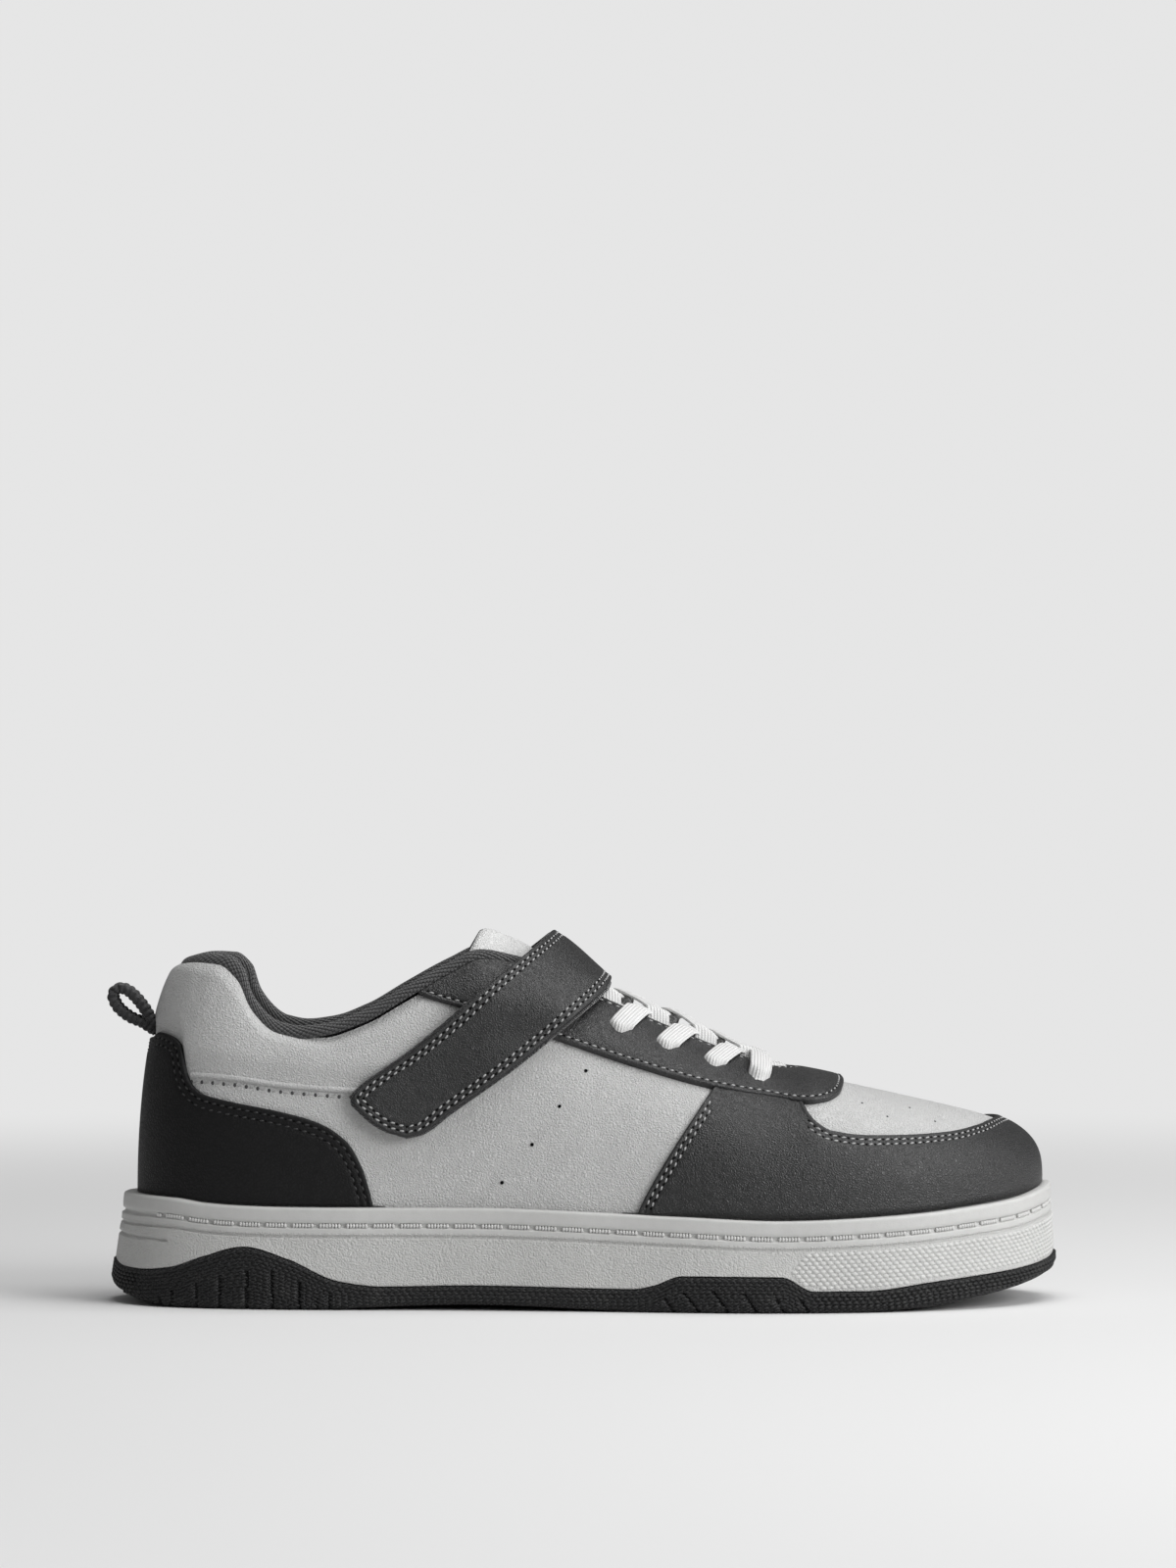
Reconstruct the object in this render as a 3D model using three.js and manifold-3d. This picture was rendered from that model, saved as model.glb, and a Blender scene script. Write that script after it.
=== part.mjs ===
// Low-top sneaker, a right shoe, standing empty on its sole.
// Millimetres, +Z up, +X to the toe, -Y the lateral side, +Y the medial side.
// A place on the shoe is told by "round", the share of the way from the heel's back (0)
// along one side to the toe's tip (1), and by "rise", the share of the way from the
// sole's rim (0) up the upper to its top edge or ridge (1).

import * as THREE from 'three';
import { mergeVertices } from 'three/addons/utils/BufferGeometryUtils.js';
import Module from 'manifold-3d';

const wasm = await Module();
wasm.setup();

// Driving sizes
const LAST_LENGTH = 240;
const BALL_WIDTH = 85;
const HEEL_HEIGHT = 91;
const INSTEP_HEIGHT = 81.5;
const TOE_HEIGHT = 52;
const SOLE_HEIGHT = 27;
const UPPER_WALL = 2;
const COLLAR_WALL = 4.4;
const PANEL = 1.2;
const SEAM_RAISE = 0.8;
const GAP = 0.3;
const RIM_WALL = 3.6;
const OUTSOLE_WALL = 3;
const OUTSOLE_PLATE = 4.6;
const RIM_ROUND = 0.7;
const RIM_BAND = 4.2;
const LOWER_BAND = 1.9;
const BAND_STEP = 0.1;
const GROOVE_WIDTH = 1;
const GROOVE_DEPTH = 0.8;
const SIDE_FLARE = 0.6;
const SHOULDER_HEIGHT = 2.4;
const SHOULDER_REACH = 0.4;
const TREAD_INSET = 1.8;
const PLATE_MINIMUM = 2;
const HEEL_KICK = 3.2;
const LUG_DEPTH = 2.2;
const LUG_GROOVE = 2.6;
const INSOLE_THICKNESS = 3;
const BINDING_HEIGHT = 3;
const TONGUE_THICKNESS = 4.5;
const STRAP_THICKNESS = 2;
const LACE_WIDTH = 5.6;
const LACE_THICKNESS = 1.2;
const LACE_OVERLAP = 0.5;
const LOOP_WIDTH = 11;
const LOOP_REACH = 12.5;

const COLUMNS = 36;
const THROAT_FRONT = 24 / COLUMNS;

// The last's outline at the rim: half-widths divided by the ellipse that closes both ends
const PLAN = [
  { round: 0, centre: 0, lateral: 0.68, medial: 0.68 },
  { round: 0.1, centre: 0, lateral: 0.647, medial: 0.647 },
  { round: 0.2, centre: 0, lateral: 0.55, medial: 0.55 },
  { round: 0.3, centre: -0.002, lateral: 0.458, medial: 0.45 },
  { round: 0.4, centre: 0, lateral: 0.402, medial: 0.353 },
  { round: 0.5, centre: 0.002, lateral: 0.435, medial: 0.371 },
  { round: 0.6, centre: 0.006, lateral: 0.524, medial: 0.488 },
  { round: 0.7, centre: 0.024, lateral: 0.61, medial: 0.586 },
  { round: 0.8, centre: 0.059, lateral: 0.69, medial: 0.64 },
  { round: 0.86, centre: 0.071, lateral: 0.725, medial: 0.66 },
  { round: 1, centre: 0.076, lateral: 0.74, medial: 0.7 },
];

// The upper's top edge and ridge, and how its wall bends on the way up to it
const heelRow = (round, along, out, up, arc, full) =>
  ({ round, along, out, up: up * HEEL_HEIGHT, arc, full, fall: 0 });
const instepRow = (round, along, out, up, arc, full, fall) =>
  ({ round, along, out, up: up * INSTEP_HEIGHT, arc, full, fall });
const toeRow = (round, along, up, full) =>
  ({ round, along, out: 0, up: up * TOE_HEIGHT, arc: 90, full, fall: 0.22 });
const TOP = [
  heelRow(0, 0.046, 0, 0.991, 80, 2),
  heelRow(0.05, 0.051, 0.095, 0.994, 80, 2),
  heelRow(0.1, 0.067, 0.165, 1, 78, 2),
  heelRow(0.15, 0.092, 0.218, 0.995, 76, 2.05),
  heelRow(0.185, 0.113, 0.25, 0.95, 72, 2.1),
  heelRow(0.215, 0.127, 0.268, 0.87, 68, 2.1),
  heelRow(0.25, 0.156, 0.288, 0.8, 64, 2.2),
  heelRow(0.3, 0.206, 0.306, 0.78, 60, 2.3),
  heelRow(0.34, 0.25, 0.306, 0.815, 60, 2.3),
  heelRow(0.38, 0.298, 0.294, 0.885, 62, 2.3),
  heelRow(0.41, 0.344, 0.265, 0.955, 64, 2.3),
  heelRow(0.435, 0.381, 0.24, 0.997, 64, 2.3),
  heelRow(0.46, 0.419, 0.215, 0.98, 64, 2.3),
  instepRow(0.5, 0.498, 0.195, 1, 64, 2.4, 0),
  instepRow(0.55, 0.577, 0.17, 0.895, 66, 2.5, 0),
  instepRow(0.6, 0.656, 0.135, 0.797, 68, 2.6, 0.04),
  instepRow(0.635, 0.702, 0.085, 0.75, 76, 2.7, 0.14),
  toeRow(THROAT_FRONT, 0.733, 1.16, 2.8),
  toeRow(0.75, 0.777, 1.116, 2.9),
  toeRow(0.85, 0.835, 1.056, 3.2),
  toeRow(1, 0.89, 1, 3.4),
];

// Heights of the sole: its rim, the wave between its two rubbers, its bed and its ground line,
// and how much of the heel's kick it has
const SOLE = [
  { round: 0, rim: 1.074, wave: 0.43, bed: 0.63, ground: 0.17, kick: 1 },
  { round: 0.06, rim: 1.07, wave: 0.36, bed: 0.63, ground: 0.09, kick: 0.85 },
  { round: 0.1, rim: 1.068, wave: 0.35, bed: 0.63, ground: 0.03, kick: 0.6 },
  { round: 0.14, rim: 1.06, wave: 0.38, bed: 0.62, ground: 0, kick: 0.35 },
  { round: 0.185, rim: 1.02, wave: 0.5, bed: 0.62, ground: 0, kick: 0.12 },
  { round: 0.23, rim: 1, wave: 0.6, bed: 0.62, ground: 0, kick: 0 },
  { round: 0.272, rim: 0.992, wave: 0.48, bed: 0.61, ground: 0, kick: 0 },
  { round: 0.315, rim: 0.99, wave: 0.27, bed: 0.6, ground: 0.01, kick: 0 },
  { round: 0.35, rim: 0.99, wave: 0.22, bed: 0.58, ground: 0.03, kick: 0 },
  { round: 0.42, rim: 0.99, wave: 0.235, bed: 0.54, ground: 0.055, kick: 0 },
  { round: 0.53, rim: 0.94, wave: 0.215, bed: 0.48, ground: 0.005, kick: 0 },
  { round: 0.545, rim: 0.93, wave: 0.25, bed: 0.48, ground: 0, kick: 0 },
  { round: 0.565, rim: 0.92, wave: 0.345, bed: 0.47, ground: 0, kick: 0 },
  { round: 0.635, rim: 0.885, wave: 0.34, bed: 0.46, ground: 0, kick: 0 },
  { round: 0.66, rim: 0.89, wave: 0.2, bed: 0.46, ground: 0, kick: 0 },
  { round: 0.7, rim: 0.91, wave: 0.2, bed: 0.46, ground: 0.004, kick: 0 },
  { round: 0.76, rim: 0.95, wave: 0.27, bed: 0.48, ground: 0.04, kick: 0 },
  { round: 0.81, rim: 0.995, wave: 0.315, bed: 0.51, ground: 0.11, kick: 0 },
  { round: 0.87, rim: 1.045, wave: 0.36, bed: 0.55, ground: 0.19, kick: 0 },
  { round: 0.94, rim: 1.12, wave: 0.42, bed: 0.59, ground: 0.28, kick: 0 },
  { round: 1, rim: 1.16, wave: 0.48, bed: 0.62, ground: 0.36, kick: 0 },
];

// Crown of what bridges the throat, above the line between its two edges
const TONGUE_SWEEP = 0.016;
const CROWN = [
  { round: 0.42, strap: 0.1, tongue: 0.14, lace: 0.06 },
  { round: 0.46, strap: 0.1, tongue: 0.118, lace: 0.06 },
  { round: 0.48, strap: 0.079, tongue: 0.091, lace: 0.04 },
  { round: 0.515, strap: 0.014, tongue: 0.045, lace: 0.008 },
  { round: 0.56, strap: 0.014, tongue: 0.055, lace: 0.018 },
  { round: 0.6, strap: 0.014, tongue: 0.038, lace: 0.002 },
  { round: 0.66, strap: 0.01, tongue: 0.03, lace: 0 },
];

// Panel edges seen from the side: shares of the last's length and of the heel's height
const COUNTER_EDGE = [
  { along: -0.05, up: 0.768 }, { along: 0.015, up: 0.768 }, { along: 0.026, up: 0.788 },
  { along: 0.04, up: 0.778 }, { along: 0.05, up: 0.755 }, { along: 0.056, up: 0.68 },
  { along: 0.063, up: 0.64 }, { along: 0.076, up: 0.614 }, { along: 0.098, up: 0.599 },
  { along: 0.16, up: 0.567 }, { along: 0.2, up: 0.538 }, { along: 0.231, up: 0.487 },
  { along: 0.25, up: 0.406 }, { along: 0.264, up: 0.28 },
];
const MUDGUARD_REAR = [
  { along: 0.546, up: 0.25 }, { along: 0.56, up: 0.33 }, { along: 0.587, up: 0.452 },
  { along: 0.609, up: 0.54 }, { along: 0.631, up: 0.622 },
];
const MUDGUARD_TOP = [
  { along: 0.733, up: 0.577 }, { along: 0.738, up: 0.56 }, { along: 0.747, up: 0.534 },
  { along: 0.762, up: 0.512 }, { along: 0.802, up: 0.498 }, { along: 0.847, up: 0.496 },
  { along: 0.892, up: 0.5 }, { along: 0.925, up: 0.512 }, { along: 0.951, up: 0.525 },
  { along: 1.05, up: 0.53 },
];
const EYESTAY_EDGE = [
  { along: 0.297, up: 0.932 }, { along: 0.338, up: 0.885 }, { along: 0.36, up: 0.862 },
  { along: 0.46, up: 0.774 }, { along: 0.54, up: 0.702 }, { along: 0.633, up: 0.632 },
  { along: 0.686, up: 0.606 }, { along: 0.735, up: 0.588 }, { along: 0.757, up: 0.594 },
  { along: 0.772, up: 0.61 }, { along: 0.783, up: 0.65 },
];
const STRAP_REAR = [
  { along: 0.243, up: 0.61 }, { along: 0.25, up: 0.636 }, { along: 0.304, up: 0.747 },
  { along: 0.351, up: 0.847 }, { along: 0.399, up: 0.953 }, { along: 0.434, up: 1.025 },
  { along: 0.456, up: 1.075 }, { along: 0.476, up: 1.13 },
];
const STRAP_FRONT = [
  { along: 0.528, up: 1.02 }, { along: 0.519, up: 0.925 }, { along: 0.507, up: 0.892 },
  { along: 0.471, up: 0.814 }, { along: 0.423, up: 0.709 }, { along: 0.34, up: 0.559 },
  { along: 0.314, up: 0.507 }, { along: 0.3, up: 0.499 }, { along: 0.275, up: 0.53 },
  { along: 0.251, up: 0.581 },
];
const SEAM_EDGE = [
  { along: 0.061, up: 0.679 }, { along: 0.102, up: 0.673 }, { along: 0.167, up: 0.651 },
  { along: 0.25, up: 0.638 },
];
const SEAM_HEIGHT = 1.4;

// Eyelets on each side, as shares of the last's length, from the toe to the ankle
const EYELETS = [0.69, 0.641, 0.588, 0.537, 0.488];
const EYELET_RISE = 0.8;

// Height of the pull loop's foot, as a share of the heel's height
const LOOP_SEAT = 0.806;

// Pull loop seen from the side: shares of its reach behind and above its foot
const LOOP_OUTLINE = [
  { back: 0, up: 0 }, { back: 0.105, up: 0.19 }, { back: 0.23, up: 0.44 }, { back: 0.4, up: 0.714 },
  { back: 0.588, up: 0.86 }, { back: 0.735, up: 0.89 }, { back: 0.88, up: 0.85 }, { back: 1, up: 0.74 },
  { back: 0.945, up: 0.48 }, { back: 0.777, up: 0.25 }, { back: 0.588, up: 0.084 },
  { back: 0.336, up: 0 }, { back: 0.126, up: -0.105 }, { back: 0, up: -0.16 },
];
const LOOP_HOLE = [
  { back: 0.7, up: 0.67 }, { back: 0.56, up: 0.6 }, { back: 0.4, up: 0.4 }, { back: 0.24, up: 0.18 },
  { back: 0.14, up: 0.04 }, { back: 0.28, up: 0.1 }, { back: 0.42, up: 0.18 }, { back: 0.6, up: 0.29 },
  { back: 0.74, up: 0.42 },
];

/** Smooth curve through one column of a table, without overshoot, level at ends that mirror. */
function column(table, name, scale = 1, mirrored = true) {
  const x = table.map((row) => row.round);
  const y = table.map((row) => row[name] * scale);
  const slope = x.slice(1).map((value, i) => (y[i + 1] - y[i]) / (value - x[i]));
  const tangent = x.map((_, i) => {
    const end = i === 0 || i === x.length - 1;
    if (end) return mirrored ? 0 : slope[Math.min(i, slope.length - 1)];
    const before = slope[i - 1];
    const after = slope[i];
    return before * after <= 0 ? 0 : (2 * before * after) / (before + after);
  });
  return (at) => {
    const place = THREE.MathUtils.clamp(at, x[0], x[x.length - 1]);
    const found = x.findIndex((value) => value >= place);
    const i = Math.max(found, 1) - 1;
    const width = x[i + 1] - x[i];
    const t = (place - x[i]) / width;
    const left = y[i] * (1 + 2 * t) * (1 - t) ** 2 + tangent[i] * width * t * (1 - t) ** 2;
    return left + y[i + 1] * t * t * (3 - 2 * t) + tangent[i + 1] * width * t * t * (t - 1);
  };
}

const planCentre = column(PLAN, 'centre', BALL_WIDTH);
const planLateral = column(PLAN, 'lateral', BALL_WIDTH);
const planMedial = column(PLAN, 'medial', BALL_WIDTH);
const topAlong = column(TOP, 'along', LAST_LENGTH);
const topOut = column(TOP, 'out', BALL_WIDTH, false);
const topUp = column(TOP, 'up');
const topArc = column(TOP, 'arc', Math.PI / 180);
const topFull = column(TOP, 'full');
const topFall = column(TOP, 'fall');
const rimHeight = column(SOLE, 'rim', SOLE_HEIGHT);
const waveHeight = column(SOLE, 'wave', SOLE_HEIGHT);
const bedHeight = column(SOLE, 'bed', SOLE_HEIGHT);
const groundHeight = column(SOLE, 'ground', SOLE_HEIGHT);
const heelKick = column(SOLE, 'kick', HEEL_KICK);
const strapCrown = column(CROWN, 'strap', HEEL_HEIGHT);
const tongueCrown = column(CROWN, 'tongue', HEEL_HEIGHT);
const laceCrown = column(CROWN, 'lace', HEEL_HEIGHT);

/** A turn runs 0 to 1 along the lateral side to the toe and 1 to 2 back along the medial side. */
const roundOf = (turn) => (turn <= 1 ? turn : 2 - turn);
const sideOf = (turn) => (turn <= 1 ? -1 : 1);

/** The last's outline at the rim. */
function outline(turn) {
  const round = roundOf(turn);
  const half = turn <= 1 ? planLateral(round) : planMedial(round);
  const x = LAST_LENGTH * (1 - Math.cos(Math.PI * round)) / 2;
  const y = planCentre(round) + sideOf(turn) * half * Math.sin(Math.PI * round);
  return new THREE.Vector2(x, y);
}

/** The outline moved outwards in plan by grow. */
function grown(turn, grow) {
  const step = 0.004;
  const before = outline((turn - step + 2) % 2);
  const after = outline((turn + step) % 2);
  const out = new THREE.Vector2(after.y - before.y, before.x - after.x).normalize();
  return outline(turn).addScaledVector(out, grow);
}

/** Share of the bend between wall and crown that a rise has reached: inwards and upwards. */
function bend(rise, arc, full) {
  const power = 2 / full;
  const inwards = (angle) => 1 - Math.max(Math.cos(angle), 0) ** power;
  return {
    inwards: inwards(arc * rise) / inwards(arc),
    upwards: (Math.sin(arc * rise) / Math.sin(arc)) ** power,
  };
}

/** The upper's outer face. */
function face(turn, rise) {
  const round = roundOf(turn);
  const foot = outline(turn);
  const { inwards, upwards } = bend(Math.min(rise, 1), topArc(round), topFull(round));
  const topX = topAlong(round);
  const topY = planCentre(round) + sideOf(turn) * topOut(round);
  const x = foot.x + (topX - foot.x) * inwards;
  const y = foot.y + (topY - foot.y) * inwards;
  const base = rimHeight(round) + GAP;
  const top = topUp(round) - topFall(round) * (x - topX);
  return new THREE.Vector3(x, y, base + (top - base) * upwards);
}

/** Outward direction of the upper's face. */
function facing(turn, rise) {
  const step = 0.004;
  const at = THREE.MathUtils.clamp(rise, 0.02, 0.97);
  const along = face((turn + step) % 2, at).sub(face((turn - step + 2) % 2, at));
  const up = face(turn, at + 0.01).sub(face(turn, at - 0.01));
  return along.cross(up).normalize();
}

/** A point at a height over the upper's face, or under it. */
const over = (turn, rise, lift) => face(turn, rise).addScaledVector(facing(turn, rise), lift);

/** The wall grows into the collar's padding near the top edge. */
function wall(turn, rise) {
  const round = roundOf(turn);
  const padded = 1 - THREE.MathUtils.smoothstep(round, 0.44, 0.52);
  const high = THREE.MathUtils.smoothstep(rise, 0.45, 0.85);
  return UPPER_WALL + (COLLAR_WALL - UPPER_WALL) * padded * high;
}

/** A geometry from points and triangles, turned to face outwards, as a solid. */
function solid(points, triangles) {
  const places = points.flatMap((point) => point.toArray());
  const geometry = new THREE.BufferGeometry();
  geometry.setAttribute('position', new THREE.Float32BufferAttribute(places, 3));
  geometry.setIndex(triangles.flat());
  return toSolid(geometry);
}

function toSolid(geometry) {
  const bare = geometry.clone();
  bare.deleteAttribute('normal');
  bare.deleteAttribute('uv');
  const merged = mergeVertices(bare, 1e-4);
  const vertProperties = new Float32Array(merged.attributes.position.array);
  const triVerts = new Uint32Array(merged.index.array);
  const used = keepWhole(triVerts);
  const body = new wasm.Manifold(new wasm.Mesh({ numProp: 3, vertProperties, triVerts: used }));
  if (body.volume() > 0) return body;
  const turned = used.map((_, i) => used[i - (i % 3) + [0, 2, 1][i % 3]]);
  return new wasm.Manifold(new wasm.Mesh({ numProp: 3, vertProperties, triVerts: turned }));
}

/** Leaves out the triangles whose corners have merged. */
function keepWhole(triangles) {
  const kept = [];
  for (let i = 0; i < triangles.length; i += 3) {
    const [a, b, c] = triangles.slice(i, i + 3);
    if (a !== b && b !== c && c !== a) kept.push(a, b, c);
  }
  return new Uint32Array(kept);
}

/** The two triangles of a four-sided facet. */
const quad = (a, b, c, d) => [[a, b, c], [a, c, d]];

/** A wall that follows the upper all round, closed along the ridge and open at the throat. */
function shell(inner, outer, rises) {
  const around = 2 * COLUMNS;
  const rows = rises.length;
  const points = [];
  for (const layer of [inner, outer]) {
    for (let i = 0; i < around; i += 1) {
      for (const rise of rises) points.push(layer(i / COLUMNS, rise));
    }
  }
  const ridge = Math.round(THROAT_FRONT * COLUMNS);
  const at = (layer, i, j) => {
    const joined = j === rows - 1 && i > COLUMNS && around - i >= ridge;
    return layer * around * rows + (joined ? around - i : i % around) * rows + j;
  };
  const triangles = [];
  for (let i = 0; i < around; i += 1) {
    for (let j = 0; j < rows - 1; j += 1) {
      triangles.push(...quad(at(1, i, j), at(1, i + 1, j), at(1, i + 1, j + 1), at(1, i, j + 1)));
      triangles.push(...quad(at(0, i, j), at(0, i, j + 1), at(0, i + 1, j + 1), at(0, i + 1, j)));
    }
    triangles.push(...quad(at(1, i, 0), at(0, i, 0), at(0, i + 1, 0), at(1, i + 1, 0)));
    const open = i < ridge || i >= around - ridge;
    const top = rows - 1;
    if (open) triangles.push(...quad(at(1, i, top), at(1, i + 1, top), at(0, i + 1, top), at(0, i, top)));
  }
  return solid(points, triangles);
}

/** A ring of profile rows round the outline, closed by ruled faces inside its first and last row. */
function ringSolid(profile) {
  const around = 2 * COLUMNS;
  const points = [];
  for (const row of profile) {
    for (let i = 0; i < around; i += 1) {
      const turn = i / COLUMNS;
      const { grow, z } = row(roundOf(turn));
      const place = grown(turn, grow);
      points.push(new THREE.Vector3(place.x, place.y, z));
    }
  }
  const at = (k, i) => k * around + (i % around);
  const triangles = [];
  for (let k = 0; k < profile.length - 1; k += 1) {
    for (let i = 0; i < around; i += 1) {
      triangles.push(...quad(at(k, i), at(k + 1, i), at(k + 1, i + 1), at(k, i + 1)));
    }
  }
  const last = profile.length - 1;
  for (let i = 0; i < COLUMNS; i += 1) {
    triangles.push(...quad(at(0, i), at(0, i + 1), at(0, around - i - 1), at(0, around - i)));
    triangles.push(...quad(at(last, i), at(last, around - i), at(last, around - i - 1), at(last, i + 1)));
  }
  return solid(points, triangles);
}

/** A sheet between two lifts of a surface given by two coordinates, closed at its edges. */
function sheet(surface, alongs, acrosses, low, high) {
  const step = 0.002;
  const lifted = (a, b, lift) => {
    const first = surface(a + step, b).sub(surface(a - step, b));
    const second = surface(a, b + step).sub(surface(a, b - step));
    return surface(a, b).addScaledVector(first.cross(second).normalize(), lift);
  };
  const rows = acrosses.length;
  const points = [];
  for (const lift of [low, high]) {
    for (const a of alongs) {
      for (const b of acrosses) points.push(lifted(a, b, lift(a, b)));
    }
  }
  const at = (layer, i, j) => layer * alongs.length * rows + i * rows + j;
  const triangles = [];
  for (let i = 0; i < alongs.length - 1; i += 1) {
    for (let j = 0; j < rows - 1; j += 1) {
      triangles.push(...quad(at(1, i, j), at(1, i + 1, j), at(1, i + 1, j + 1), at(1, i, j + 1)));
      triangles.push(...quad(at(0, i, j), at(0, i, j + 1), at(0, i + 1, j + 1), at(0, i + 1, j)));
    }
    triangles.push(...quad(at(1, i, 0), at(0, i, 0), at(0, i + 1, 0), at(1, i + 1, 0)));
    const j = rows - 1;
    triangles.push(...quad(at(1, i, j), at(1, i + 1, j), at(0, i + 1, j), at(0, i, j)));
  }
  for (let j = 0; j < rows - 1; j += 1) {
    triangles.push(...quad(at(1, 0, j), at(1, 0, j + 1), at(0, 0, j + 1), at(0, 0, j)));
    const i = alongs.length - 1;
    triangles.push(...quad(at(1, i, j), at(0, i, j), at(0, i, j + 1), at(1, i, j + 1)));
  }
  return solid(points, triangles);
}

/** Top of the outsole's plate, thick enough wherever the toe and heel lift off the ground. */
const plateHeight = (round) => Math.max(OUTSOLE_PLATE, groundHeight(round) + PLATE_MINIMUM);

/** Evenly spaced values from start to end. */
const spaced = (start, end, count) =>
  Array.from({ length: count }, (_, i) => start + ((end - start) * i) / (count - 1));

/** Panel edge rows as points in the side view, in millimetres. */
const edgePoints = (rows) =>
  rows.map(({ along, up }) => new THREE.Vector2(along * LAST_LENGTH, up * HEEL_HEIGHT));

/** A block with the given side view, through both sides of the shoe or one of them. */
function sideBlock(points, from = -BALL_WIDTH, to = BALL_WIDTH) {
  const geometry = new THREE.ExtrudeGeometry(new THREE.Shape(points), {
    depth: to - from, bevelEnabled: false, steps: 1,
  });
  geometry.rotateX(Math.PI / 2);
  geometry.translate(0, to, 0);
  return toSolid(geometry);
}

/** Rises of the shells' rows, closer where the wall bends most. */
const RISES = [0, 0.13, 0.28, 0.43, 0.57, 0.7, 0.81, 0.91, 1];

/** The upper: a hollow wall from the sole's bed to the collar, throat and ridge. */
function makeUpper() {
  const foot = (turn, lift) => {
    const top = over(turn, 0, lift);
    return new THREE.Vector3(top.x, top.y, bedHeight(roundOf(turn)) + GAP);
  };
  const layer = (depth) => (turn, rise) =>
    (rise < 0 ? foot(turn, -depth(turn, 0)) : over(turn, rise, -depth(turn, rise)));
  return shell(layer(wall), layer(() => 0), [-1, ...RISES]);
}

/** A thin wall all round the upper, from which its panels are cut. */
const panelShell = (low, high) => shell(
  (turn, rise) => over(turn, rise, low),
  (turn, rise) => over(turn, rise, high),
  RISES,
);

function makeCounter(skin) {
  const edge = edgePoints(COUNTER_EDGE);
  const corner = new THREE.Vector2(edge[0].x, 0);
  return skin.intersect(sideBlock([...edge, new THREE.Vector2(edge.at(-1).x, 0), corner]));
}

function makeMudguard(skin) {
  const rear = edgePoints(MUDGUARD_REAR);
  const top = edgePoints(MUDGUARD_TOP);
  const under = edgePoints(EYESTAY_EDGE.slice(5, 8)).map((p) => p.setY(p.y - 1.5 * GAP));
  const front = new THREE.Vector2(top.at(-1).x, 0);
  const back = new THREE.Vector2(rear[0].x, 0);
  return skin.intersect(sideBlock([back, ...rear, ...under, ...top, front]));
}

function makeEyestay(skin) {
  const edge = edgePoints(EYESTAY_EDGE);
  const roof = 1.3 * HEEL_HEIGHT;
  const front = new THREE.Vector2(edge.at(-1).x, roof);
  const back = new THREE.Vector2(edge[0].x, roof);
  return skin.intersect(sideBlock([...edge, front, back]));
}

/** The raised seam that runs from the counter to the strap on one side. */
function makeSeam(from, to) {
  const edge = edgePoints(SEAM_EDGE);
  const lower = edge.map((p) => new THREE.Vector2(p.x, p.y - SEAM_HEIGHT)).reverse();
  return panelShell(GAP, GAP + SEAM_RAISE).intersect(sideBlock([...edge, ...lower], from, to));
}

/** Surface over the instep from side to side: 0 lateral rim, 1 and 2 throat edges, 3 medial rim. */
function instep(crown, lift) {
  return (round, across) => {
    if (across < 1) return over(round, across, lift(round, across));
    if (across > 2) return over(2 - round, 3 - across, lift(round, 3 - across));
    const near = over(round, 1, lift(round, 1));
    const far = over(2 - round, 1, lift(round, 1));
    const middle = across - 1;
    const point = near.lerp(far, middle);
    point.z += crown(round) * 4 * middle * (1 - middle);
    return point;
  };
}

/** The hook-and-loop strap, closed over the instep. */
function makeStrap() {
  const under = GAP + PANEL + GAP;
  const overLaces = LACE_THICKNESS + LACE_OVERLAP + 2 * GAP;
  const rising = (rise) => THREE.MathUtils.smoothstep(rise, 0.56, EYELET_RISE - 0.06);
  const lift = (round, rise) => under + overLaces * rising(rise);
  const surface = instep(strapCrown, lift);
  const acrosses = [...spaced(0.25, 0.97, 8), ...spaced(1.1, 1.9, 6), ...spaced(2.03, 2.75, 8)];
  const band = sheet(surface, spaced(0.26, 0.58, 12), acrosses, () => 0, () => STRAP_THICKNESS);
  return band.intersect(sideBlock([...edgePoints(STRAP_REAR), ...edgePoints(STRAP_FRONT)]));
}

/** The padded tongue, under the throat's edges and over the instep. */
function makeTongue() {
  const depth = (round, rise) => -wall(round, rise) - 3 * GAP;
  const plain = instep(tongueCrown, depth);
  const sweep = (round, across) =>
    TONGUE_SWEEP * (2 * across - 3) ** 2 * (1 - THREE.MathUtils.smoothstep(round, 0.43, 0.54));
  const surface = (round, across) => plain(round - sweep(round, across), across);
  const acrosses = [0.8, 0.9, 1.02, ...spaced(1.15, 1.85, 5), 1.98, 2.1, 2.2];
  const edge = (across) => Math.min(across - 0.8, 2.2 - across) / 0.35;
  const thickness = (across) => TONGUE_THICKNESS * (0.45 + 0.55 * Math.min(edge(across), 1));
  return sheet(surface, spaced(0.437, 0.645, 9), acrosses, (a, b) => -thickness(b), () => 0);
}

/** A profile row of the sole: how far out, how high, and its share of the heel's kick. */
const soleRow = (grow, height, kick = 0) => (round) =>
  ({ grow: grow + kick * heelKick(round), z: height(round) });

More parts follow.
